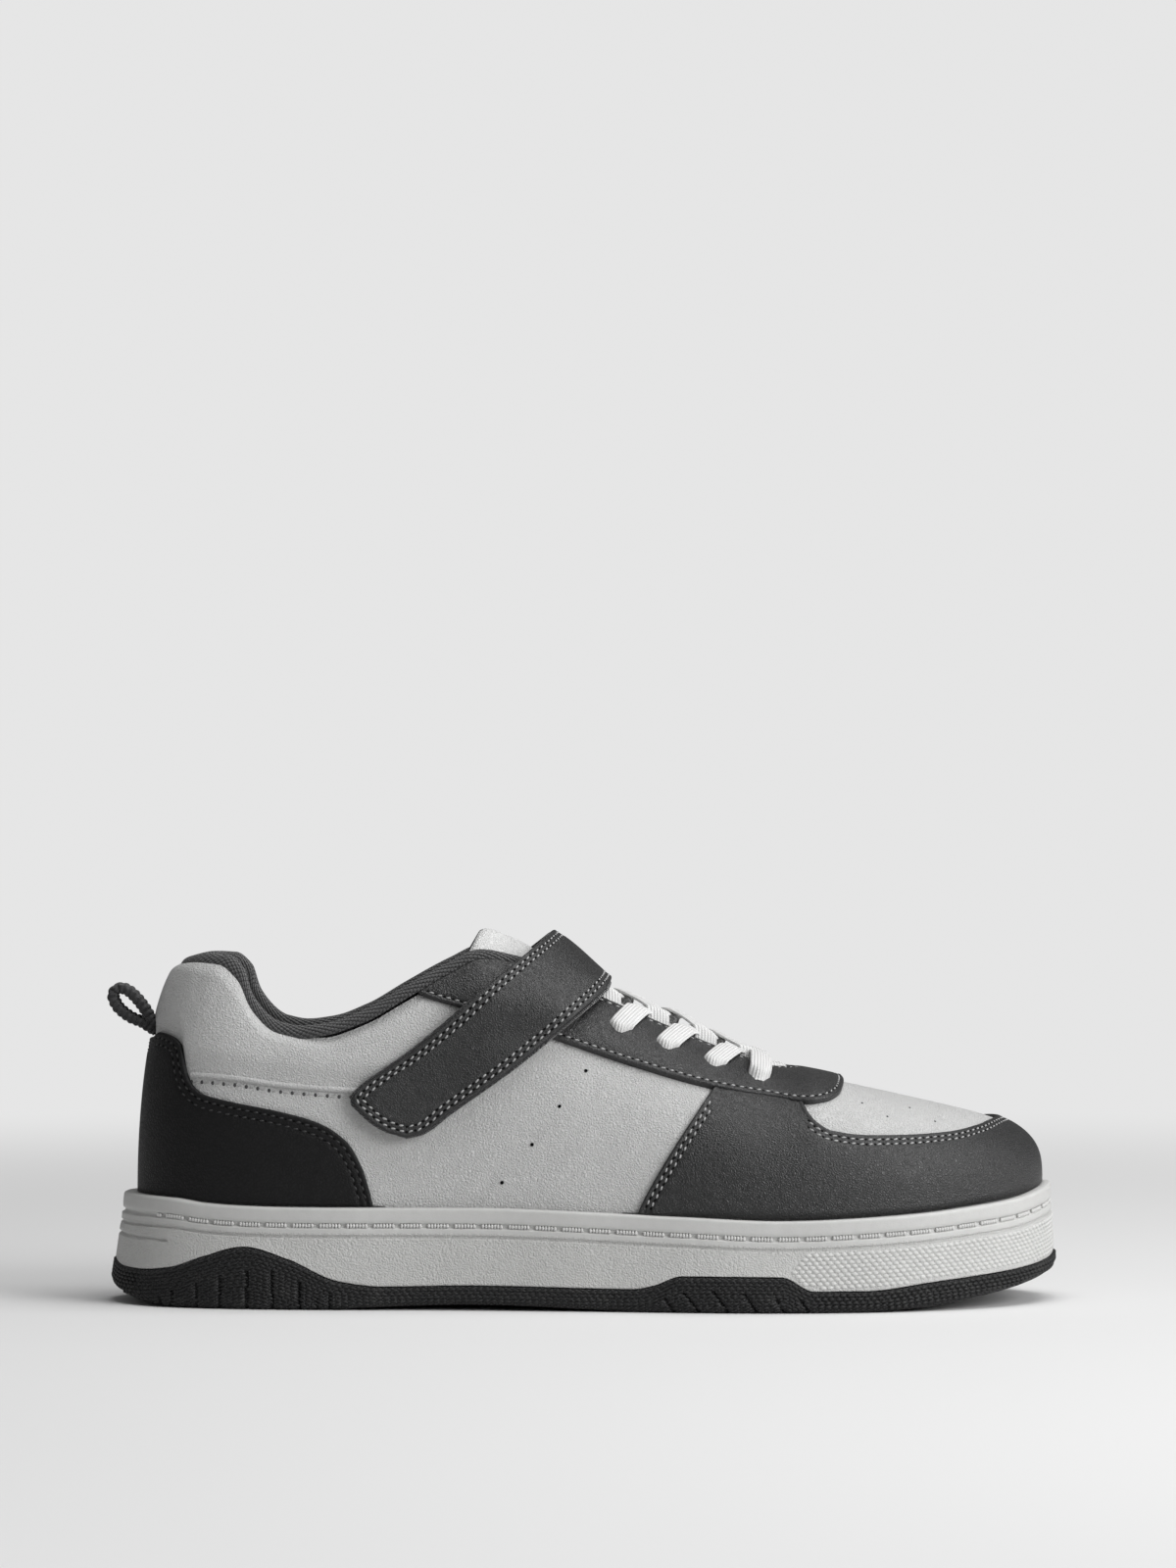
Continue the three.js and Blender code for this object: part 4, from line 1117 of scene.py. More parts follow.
@dataclass(frozen=True)
class Tape(Finish):
    """Woven lace or webbing, with ribs that run along or across it."""

    ribs: float = 120.0
    threads: float = 160.0
    gap_tone: float = 0.6
    depth: float = 0.0002

    def material(self) -> bpy.types.Material:
        """Builds the material: ribs and threads in the bump, darker between them."""
        material, c, shader = self.start()
        weave = use_group(c, Group.RIBS, Vector=c.surface(), Ribs=self.ribs, Threads=self.threads, Fuzz=0.25)
        age = use_group(c, Group.AGE, Vector=c.place(), Amount=0.3)
        colour = c.blend(c.math("MULTIPLY", weave["Gap"], 0.7), self.colour, self.toned(self.gap_tone))
        c.feed(shader.inputs["Base Color"], c.scaled(colour, age["Tone"]))
        c.feed(shader.inputs["Roughness"], c.math("ADD", self.rough, c.math("MULTIPLY", weave["Gap"], 0.05)))
        c.feed(shader.inputs["Normal"], c.bump(weave["Height"], self.depth))
        return material


@dataclass(frozen=True)
class Rubber(Finish):
    """Moulded rubber, pebbled or smooth, or with a net pattern on it whose raised diamonds are painted lighter as a
    painted highlight.
    """

    pebble: float = 1300.0
    depth: float = 0.00008
    net: float = 0.0
    net_depth: float = 0.0003
    # how much lighter the net's raised diamonds are painted: a painted highlight
    net_highlight_tone: float = 5.5
    grime: tuple[float, float, float] = (0.35, 0.33, 0.3)

    def material(self) -> bpy.types.Material:
        """Builds the material: pebbles, a diamond net where asked for with a painted highlight on its raised
        diamonds, and grime near the floor.
        """
        material, c, shader = self.start()
        place = c.place()
        pebble = use_group(c, Group.PEBBLE, Vector=place, Scale=self.pebble)
        age = use_group(c, Group.AGE, Vector=place, Amount=0.4)
        colour = c.scaled(self.colour, age["Tone"])
        rough = c.math("ADD", self.rough, c.math("MULTIPLY", age["Rub"], 0.08))
        normal = c.bump(pebble["Height"], self.depth)
        if self.net > 0:
            lines = self.net_lines(c)
            # painted highlight: the raised diamonds are coloured lighter than the grooves between them
            colour = c.blend(lines, colour, self.toned(self.net_highlight_tone))
            normal = c.bump(lines, self.net_depth, 1.0, normal)
        colour = c.blend(c.math("MULTIPLY", age["Grime"], 0.35), colour, self.grime)
        c.feed(shader.inputs["Base Color"], colour)
        c.feed(shader.inputs["Roughness"], rough)
        c.feed(shader.inputs["Normal"], normal)
        return material

    def net_lines(self, c: Canvas) -> bpy.types.NodeSocket:
        """Small diamonds: the lesser distance to two slanting families of lines, on the piece's own map; it raises
        the diamonds and places their painted highlight.
        """
        parts = c.node("ShaderNodeSeparateXYZ")
        c.feed(parts.inputs[0], c.scaled(c.surface(), self.net))
        steep = c.math("MULTIPLY", parts.outputs["Y"], 2.0)
        one = c.math("PINGPONG", c.math("ADD", parts.outputs["X"], steep), 0.5)
        other = c.math("PINGPONG", c.math("SUBTRACT", parts.outputs["X"], steep), 0.5)
        return c.remap(c.math("MINIMUM", one, other), 0.06, 0.34)


@dataclass(frozen=True)
class Thread(Finish):
    """Sewing thread: tightly twisted, slightly glossy."""

    twist: float = 4200.0

    def material(self) -> bpy.types.Material:
        """Builds the material: a fine slanting twist in the bump and the tone."""
        material, c, shader = self.start()
        place = c.place()
        twist = c.noise(place, self.twist, 2.0)
        colour = c.blend(c.remap(twist, 0.35, 0.6), self.toned(0.6), self.colour)
        c.feed(shader.inputs["Base Color"], colour)
        c.feed(shader.inputs["Roughness"], c.math("ADD", self.rough, c.math("MULTIPLY", twist, 0.1)))
        c.feed(shader.inputs["Normal"], c.bump(twist, 0.00008))
        return material


class Palette:
    """Every finish of the shoe, made once."""

    def __init__(self) -> None:
        """Builds the materials from their finishes."""
        self.white_leather = Leather("white_pebbled_leather", (0.73, 0.73, 0.725), 0.5, grain=1250,
                                     depth=0.0003, crease_tone=0.94, edge_tone=0.75, rub_tone=1.03,
                                     specular=0.4).material()
        # the dark leathers' edge tone of 1.5 is a painted highlight along their rolled edges
        dark = {"crease_tone": 0.6, "edge_tone": 1.5, "rub_tone": 1.3}
        self.dark_leather = Leather("charcoal_leather", (0.0065, 0.0066, 0.007), 0.33, grain=1400,
                                    depth=0.00015, specular=0.68, **dark).material()
        self.heel_leather = Leather("black_heel_leather", (0.006, 0.006, 0.0064), 0.42, grain=1100,
                                    depth=0.00012, specular=0.25, **dark).material()
        self.cut_edge = Leather("charcoal_cut_edge", (0.016, 0.016, 0.0165), 0.7, grain=2600, depth=0.0001,
                                crease_tone=0.7, edge_tone=1.0, rub_tone=1.2, specular=0.3).material()
        self.binding = Knit("dark_knitted_binding", (0.06, 0.06, 0.062), 0.85, sheen=0.3, stitches=110,
                            depth=0.0008, gap_tone=0.35).material()
        self.lining = Knit("dark_mesh_lining", (0.04, 0.04, 0.042), 0.9, sheen=0.2, stitches=55,
                           depth=0.0005).material()
        self.insole = Knit("dark_footbed_cloth", (0.04, 0.04, 0.042), 0.92, sheen=0.15, stitches=70,
                           depth=0.0002).material()
        self.hook_cloth = Knit("black_hook_cloth", (0.018, 0.018, 0.019), 0.9, sheen=0.5, stitches=110,
                               depth=0.0006).material()
        self.webbing = Tape("dark_ribbed_webbing", (0.03, 0.03, 0.032), 0.8, ribs=62, threads=90,
                            depth=0.0009, gap_tone=0.3, sheen=0.2).material()
        self.lace = Tape("white_flat_lace", (0.73, 0.73, 0.725), 0.8, ribs=125, threads=150, gap_tone=0.8,
                         depth=0.00022, sheen=0.15).material()
        self.midsole = Rubber("off_white_rubber", (0.5, 0.5, 0.49), 0.55, pebble=2300,
                              depth=0.0003).material()
        self.smooth_rubber = Rubber("off_white_smooth_rubber", (0.52, 0.52, 0.51), 0.48, pebble=2600,
                                    depth=0.00003).material()
        # the beads' rubber is the midsole's rubber painted lighter: a painted highlight on the beads
        self.highlit_bead_rubber = Rubber("off_white_beads_painted_highlight", (0.56, 0.56, 0.55), 0.48, pebble=2600,
                                  depth=0.00003).material()
        # the outsole's net tone of 5.5 paints its raised diamonds lighter, a painted highlight
        self.outsole = Rubber("dark_outsole_rubber", (0.008, 0.008, 0.0084), 0.55, pebble=1600, depth=0.0001,
                              net=62.0, net_depth=0.001, grime=(0.1, 0.098, 0.09), specular=0.4).material()
        self.tread = Rubber("dark_tread_rubber", (0.02, 0.02, 0.021), 0.7, pebble=1200, depth=0.00012,
                            grime=(0.1, 0.098, 0.09)).material()
        self.light_thread = Thread("grey_thread", (0.48, 0.48, 0.48), 0.5).material()
        self.dark_thread = Thread("charcoal_thread", (0.03, 0.03, 0.031), 0.4).material()
        self.white_thread = Thread("white_thread", (0.5, 0.5, 0.495), 0.5).material()
        # the two needle-hole materials are painted shade: grey and near-black discs set where each hole shows only
        # shade
        self.grey_hole_shade = Thread("grey_hole_painted_shade", (0.11, 0.11, 0.11), 0.9, specular=0.1).material()
        self.hole_shade = Thread("dark_hole_painted_shade", (0.004, 0.004, 0.004), 0.9, specular=0.1).material()


def scatter(centre: Array, ahead: Array, up: Array, size: Sequence[float], rings: int = 6,
            sides: int = 6) -> Sheetwork:
    """Many small ellipsoids as one mesh.

    Args:
        centre: their middles.
        ahead: direction of their length at each.
        up: direction of their height at each.
        size: length, width and height, in millimetres.
        rings: rings along one.
        sides: points in a ring.

    Returns:
        The joined ellipsoids.
    """
    ring = np.linspace(0, np.pi, rings)[:, None]
    around = np.linspace(0, 2 * np.pi, sides, endpoint=False)[None, :]
    ball = (-np.cos(ring), np.sin(ring) * np.cos(around), np.sin(ring) * np.sin(around))
    body = np.stack(np.broadcast_arrays(*ball), axis=-1).reshape(-1, 3) / 2 * np.array(size)
    aside = unit(np.cross(up, ahead))
    up = unit(np.cross(ahead, aside))
    made = centre[:, None] + body[None, :, 0:1] * ahead[:, None] + body[None, :, 1:2] * aside[:, None]
    made = made + body[None, :, 2:3] * up[:, None]
    starts = np.arange(len(centre))[:, None, None] * len(body)
    faces = grid_faces(rings, sides, wrap_columns=True)[None] + starts
    return Sheetwork(made.reshape(-1, 3), faces.reshape(-1, 4)).closed_out()


@dataclass(frozen=True)
class Stitching:
    """Rows of sewn thread, each stitch between two needle holes painted as dark discs of shade, as one joined mesh
    for each row.
    """

    pitch: float = 2.36
    length: float = 1.2
    width: float = 0.5
    height: float = 0.5
    slant: float = 0.22
    # size of the dark disc that paints the shade of each needle hole
    hole: float = 0.94

    def row(self, points: Array, normals: Array, lift: float = 0.06, pitch: float = 0.0) -> Sheetwork:
        """Stitches laid end to end along a run of points, part 0, with dark discs of painted shade at their needle
        holes, part 1.

        Args:
            points: the run, in millimetres.
            normals: outward directions at its points.
            lift: how far the thread's middle stands over the run.
            pitch: distance from one to the next, or 0 for the usual one.

        Returns:
            The stitches and the painted shade of their holes as one piece of sheetwork.
        """
        pitch = pitch or self.pitch
        far = lengths(points)
        count = max(int(round(far[-1] / pitch)), 1)
        run = tangents(points)
        parts = []
        stitch = (self.length * pitch / self.pitch, self.width, self.height)
        # the second pass lays dark discs that paint the shade of the needle holes
        hole = (self.hole, self.hole * 1.2, 0.24)
        for offset, size, up_by, rings in ((0.5, stitch, lift, 6), (0.0, hole, -0.01, 4)):
            at = (np.arange(count) + offset) * far[-1] / count
            centre, ahead, up = (
                np.stack([np.interp(at, far, values[:, k]) for k in range(3)], axis=-1)
                for values in (points, run, normals))
            up = unit(up)
            ahead = unit(unit(ahead) + unit(np.cross(up, ahead)) * self.slant)
            parts.append(scatter(centre + up * up_by, ahead, up, size, rings))
        return joined(parts)

    def sew(self, name: str, rows: Sequence[Sheetwork], thread: bpy.types.Material, hole: bpy.types.Material) -> None:
        """Makes one piece of several rows.

        Args:
            name: the piece's name.
            rows: what row() gave.
            thread: the thread's material.
            hole: the material of the painted shade at the needle holes.
        """
        work = joined(rows)
        work.part = np.concatenate([row.part for row in rows])
        piece(name, work, [thread, hole])


def spread(start: float, end: float, count: int, low: float = 1.0, high: float = 1.0) -> Array:
    """Values from start to end, closer together near an end whose power is over one.

    Args:
        start: first value.
        end: last value.
        count: how many.
        low: power at the start.
        high: power at the end.

    Returns:
        The values: each half of the way follows t^power of its own end.
    """
    t = np.linspace(0, 1, count)
    lower = 0.5 * (2 * np.minimum(t, 0.5)) ** low
    upper = 1 - 0.5 * (2 * np.minimum(1 - t, 0.5)) ** high
    return start + (end - start) * np.where(t < 0.5, lower, upper)


def roll(distance: Array, radius: float) -> Array:
    """Quarter round: sqrt(1 - (1 - d / radius)^2) of the distance from an edge."""
    share = np.clip(distance / radius, 0.0, 1.0)
    return np.sqrt(1 - (1 - share) ** 2)


@dataclass
class Upper:
    """The hollow upper: white leather outside, padded collar, mesh lining inside."""

    columns: int = 440
    rows: int = 56
    puff: float = 1.3
    fold: float = 0.35

    def swell(self, turn: Array, rise: Array) -> Array:
        """Soft relief of the leather: the padded collar and the flex folds of the vamp.

        The collar swells by soft steps between the seam and the binding, and each fold is a bell less a
        narrower one beside it, across the quarter in the shoe's own sizes.

        Args:
            turn: where.
            rise: where.

        Returns:
            Lift over the last, in millimetres.
        """
        place = LAST.point(turn, rise)
        around, _ = LAST.split(turn)
        x = place[..., 0] / LAST.length
        z = place[..., 2] / LAST.heel_height
        counter = np.where(x < 0.075, side_edge(COUNTER_EDGE)(place[..., 0]), 0.0)
        seam = np.maximum(side_edge(SEAM_EDGE)(place[..., 0]), counter) / LAST.heel_height
        back = 1 - smooth(around, 0.36, 0.43)
        above = smooth(z - seam, 0.0, 0.07)
        near_top = smooth(rise, 1.0, 0.86)
        lift = self.puff * back * above * near_top
        for along, lean, span, depth in VAMP_FOLDS:
            line = x - along - lean * (z - 0.45)
            wrap = bell(z, 0.45, span)
            lift = lift + self.fold * depth * wrap * (bell(line, 0.012, 0.01) - bell(line, 0.0, 0.008))
        return lift

    def build(self, palette: Palette) -> None:
        """Makes the upper: outside face, foot, and lining as one closed wall.

        Args:
            palette: the shoe's finishes.
        """
        turn = np.linspace(0, 2, self.columns, endpoint=False)[None, :]
        rise = spread(0, 1, self.rows, 1.5, 1.5)[:, None]
        outer = LAST.lifted(turn, rise, self.swell(turn, rise))
        inner_rise = spread(1, 0, 30, 1.4, 1.2)[:, None]
        inner = LAST.lifted(turn, inner_rise, -LAST.wall(turn, inner_rise))
        around, _ = LAST.split(turn)
        bed = LAST.sole["bed"](around) + LAST.gap
        foot_out = np.array(LAST.lifted(turn, np.zeros((1, 1)), 0.0))
        foot_out[..., 2] = bed
        foot_in = np.array(inner[-1:])
        foot_in[..., 2] = bed
        points = np.concatenate([foot_out, outer, inner, foot_in], axis=0)
        rows = points.shape[0]
        work = grid(points, wrap_rows=True, wrap_columns=True)
        row_of = np.repeat(np.arange(rows), self.columns)
        work.part = (row_of >= self.rows).astype(int)
        outward = np.zeros_like(points)
        outward[: self.rows + 1] = LAST.normal(turn, np.concatenate([[[0]], rise]))
        work = work.facing(outward.reshape(-1, 3))
        lengthwise = np.broadcast_to(turn * 330.0, points.shape[:2])
        upwards = np.broadcast_to(points[..., 2], points.shape[:2])
        work.uv = np.stack([lengthwise, upwards], axis=-1).reshape(-1, 2)
        piece("upper_white_leather", work, [palette.white_leather, palette.lining],
              ["upper"], weld=0.02)


VAMP_FOLDS = (
    (0.42, 0.35, 0.16, 0.8),
    (0.465, 0.3, 0.13, 0.5),
    (0.52, 0.22, 0.1, 0.3),
)


@dataclass
class Panel:
    """A leather overlay cut from the upper's own face, between the rim or an edge and an edge or the top."""

    name: str
    node: str
    edge_rows: Sequence[EdgeRow]
    first: float
    last: float
    to_top: bool = False
    thickness: float = 1.2
    columns: int = 420
    rows: int = 34
    seams: tuple[float, ...] = (1.5, 3.2)
    channel: float = 0.25
    base: float = 0.12
    skirt: float = 0.6
    sewn: tuple[tuple[float, float], ...] = ((-1.0, 2.0),)
    finish: str = "dark_leather"

    @cached_property
    def edge(self) -> Column:
        """The panel's edge in the side view."""
        return side_edge(self.edge_rows)

    def meets(self, low: float, high: float) -> float:
        """Turn between low and high at which the edge comes to the top edge or the ridge, by halving."""

        def over(turn: Array) -> Array:
            place = LAST.point(turn, np.ones_like(turn))
            return place[..., 2] - self.edge(place[..., 0])

        sign = -1.0 if over(np.array([low]))[0] > 0 else 1.0
        return float(bisect(lambda turn: sign * over(turn), np.array([low]), np.array([high]))[0])

    def edge_line(self, count: int, first: float, last: float) -> tuple[Array, Array]:
        """The edge on the face, evenly spaced along its length.

        Args:
            count: how many points.
            first: turn at its start.
            last: turn at its end.

        Returns:
            Turns and rises.
        """
        turn = np.linspace(first, last, 6 * count)
        rise = LAST.rise_at(turn, self.edge)
        far = lengths(LAST.point(turn, rise))
        goal = np.linspace(0, far[-1], count)
        even = np.interp(goal, far, turn)
        return even, LAST.rise_at(even, self.edge)

    def patch(self, first: float, last: float) -> Sheetwork:
        """The panel between two turns, with rolled edges and a channel along its seams.

        The lift is the thickness times a quarter round of the distance from the nearest edge, less a bell
        at each seam.

        Args:
            first: turn at its start.
            last: turn at its end.

        Returns:
            The patch.
        """
        turn, rise = self.edge_line(self.columns, first, last)
        top = np.ones_like(rise) if self.to_top else rise
        low = rise if self.to_top else np.zeros_like(rise)
        share = spread(0, 1, self.rows, 1.7 if self.to_top else 1.0, 1.7)[:, None]
        rises = low + (top - low) * share
        turns = np.broadcast_to(turn, rises.shape)
        line = LAST.point(*self.edge_line(3 * self.columns, first, last))
        if self.to_top:
            around = np.linspace(0.3, THROAT_FRONT + 0.002, 900)
            side = around if first < 1 else 2 - around
            line = np.concatenate([line, LAST.point(side, np.ones_like(side))])
        distance = from_line(LAST.point(turns, rises), line)
        lift = self.thickness * (0.5 + 0.5 * roll(distance, 0.7))
        for seam in self.seams:
            lift = lift - self.channel * bell(distance, seam, 0.5)
        body = LAST.lifted(turns, rises, lift + self.base)
        skirt_top = LAST.lifted(turn, top, np.full_like(turn, -self.skirt))[None]
        skirt_low = LAST.lifted(turn, low, np.full_like(turn, -self.skirt))[None]
        points = np.concatenate([skirt_low, body, skirt_top])
        distance = np.concatenate([distance[:1] * 0, distance, distance[-1:] * 0])
        work = grid(points, edge=distance)
        outward = LAST.normal(np.broadcast_to(turn, points.shape[:2]), np.full(points.shape[:2], 0.5))
        return work.facing(outward.reshape(-1, 3))

    def build(self, palette: Palette) -> None:
        """Makes the panel from one patch, or one for each side where it goes up to the ridge.

        Args:
            palette: the shoe's finishes.
        """
        if self.to_top:
            first = self.meets(self.first, 0.42)
            last = self.meets(0.7, self.last)
            patches = [self.patch(first, last), self.patch(2 - last, 2 - first)]
        else:
            patches = [self.patch(self.first, self.last)]
        work = joined(patches)
        piece(self.name, work, [getattr(palette, self.finish)], [self.node], weld=0.03)

    def seam_rows(self, distances: Sequence[float], first: float, last: float,
                  stitching: Stitching) -> list[Sheetwork]:
        """Stitches beside the panel's edge, parted where the run crosses the toe's or heel's middle.

        Args:
            distances: how far inside the edge each row lies.
            first: turn at the rows' start.
            last: turn at their end.
            stitching: the thread.

        Returns:
            The rows.
        """
        turn, rise = self.edge_line(500, first, last)
        sign = 1.0 if self.to_top else -1.0
        middle = round((first + last) / 2)
        rows = []
        for distance in distances:
            a, b = LAST.inset(turn, rise, sign * distance)
            keep = (b > 0.01) & (b < 0.995)
            a = a[keep]
            b = b[keep]
            x = LAST.point(a, b)[..., 0] / LAST.length
            level = self.thickness - self.channel + self.base
            place = LAST.lifted(a, b, np.full_like(a, level))
            for low_x, high_x in self.sewn:
                for side in (a < middle, a >= middle):
                    chosen = side & (x > low_x) & (x < high_x)
                    if chosen.sum() > 8:
                        rows.append(stitching.row(place[chosen], LAST.normal(a, b)[chosen]))
        return rows

    def throat_rows(self, distance: float, stitching: Stitching) -> list[Sheetwork]:
        """Stitches along both of the throat's edges.

        Args:
            distance: how far from the edge.
            stitching: the thread.

        Returns:
            The rows.
        """
        rows = []
        around = np.linspace(0.485, THROAT_FRONT - 0.006, 300)
        for turn, inwards in ((around, -distance), (2 - around, distance)):
            a, b = LAST.inset(turn, np.full_like(turn, 0.996), inwards)
            place = LAST.lifted(a, b, self.thickness - self.channel + self.base)
            rows.append(stitching.row(place, LAST.normal(a, b)))
        return rows


@dataclass
class CollarBinding:
    """The knitted roll round the collar, from one throat corner round the heel to the other."""

    corner: float = 17 / 36
    columns: int = 420
    around: int = 18
    height: float = 3.0

    def build(self, palette: Palette) -> None:
        """Sweeps a full roll over the collar's edge: half an ellipse over the edge, its ends tucked under.

        Args:
            palette: the shoe's finishes.
        """
        turn = np.linspace(-self.corner, self.corner, self.columns)
        rise = np.ones_like(turn)
        edge = LAST.point(turn, rise)
        out = LAST.normal(turn, rise)
        up = unit(edge - LAST.point(turn, np.full_like(turn, 0.94)))
        half = LAST.wall(turn, rise)[:, None] / 2
        angle = np.linspace(-0.5, np.pi + 0.9, self.around)
        front = smooth(np.abs(turn), 0.265, 0.31)[:, None]
        wide = half * (1.2 * np.cos(angle)[None, :]) - half + front * 0.7 * (1 + np.cos(angle))[None, :]
        high = 0.35 + 1.2 * front + self.height * np.sin(angle)[None, :] * np.ones_like(half)
        points = edge[:, None] + out[:, None] * wide[..., None] + up[:, None] * high[..., None]
        middle = (edge - out * half)[:, None]
        outward = (points - middle).reshape(-1, 3)
        far = lengths(edge)
        round_way = np.linspace(0, 11.0, self.around)
        uv = 0.7 * np.stack([far[:, None] + round_way[None, :], round_way[None, :] - far[:, None]], axis=-1)
        cap_a = np.broadcast_to(points[:1].mean(axis=1, keepdims=True), (1, self.around, 3))
        cap_b = np.broadcast_to(points[-1:].mean(axis=1, keepdims=True), (1, self.around, 3))
        uv = np.concatenate([uv[:1], uv, uv[-1:]])
        outward = np.concatenate([outward[: self.around], outward, outward[-self.around:]])
        work = grid(np.concatenate([cap_a, points, cap_b]), uv=uv).facing(outward)
        piece("collar_knit_binding", work, [palette.binding], ["collar_binding"])


@dataclass
class Tongue:
    """The padded tongue under the throat's edges."""

    first: float = 0.437
    last: float = 0.68
    low: float = 0.8
    high: float = 2.2
    thickness: float = 4.5
    sweep: float = 0.032
    columns: int = 90
    rows: int = 80

    @cached_property
    def surface(self) -> Instep:
        """The tongue's upper face, under the wall and swept back at its sides."""

        def depth(around: Array, rise: Array) -> Array:
            return -LAST.wall(around, rise) - 3 * LAST.gap

        def swept(around: Array, across: Array) -> Array:
            aside = np.minimum(np.abs(2 * across - 3), 0.9) ** 1.5
            return self.sweep * aside * (1 - smooth(around, 0.43, 0.54))

        return Instep(LAST.crown["tongue"], depth, swept)

    def build(self, palette: Palette) -> None:
        """Makes a pad: its face and back meet round the edge, thickness by a root of the edge's distance.

        Args:
            palette: the shoe's finishes.
        """
        across = spread(self.low, self.high, self.rows, 1.5, 1.5)[None, :]
        along = spread(self.first, self.last, self.columns, 1.6, 1.2)[:, None]
        along, across = np.broadcast_arrays(along, across)
        side = np.minimum(across - self.low, self.high - across) / 0.35
        end = np.minimum((along - self.first) / 0.012, (self.last - along) / 0.02)
        full = np.sqrt(np.clip(1 - (1 - np.clip(side, 0, 1)) ** 2, 0, 1)) * np.sqrt(
            np.clip(1 - (1 - np.clip(end, 0, 1)) ** 2, 0, 1))
        face = self.surface.lifted(along, across, -self.thickness * 0.45 * (1 - full))
        back = self.surface.lifted(along, across, -self.thickness * (0.45 + 0.55 * full))
        points = np.stack([face, back])
        normal = self.surface.normal(along, across).reshape(-1, 3)
        uv = np.stack([across * 30, along * 400], axis=-1)
        front = grid(points[0], uv=uv).facing(normal)
        rear = grid(points[1], uv=uv).facing(-normal)
        work = joined([front, rear])
        work.part[: 3 * (self.rows - 1)] = 1
        made = piece("tongue_padded", work, [palette.white_leather, palette.lining],
                     ["tongue"], weld=0.05)


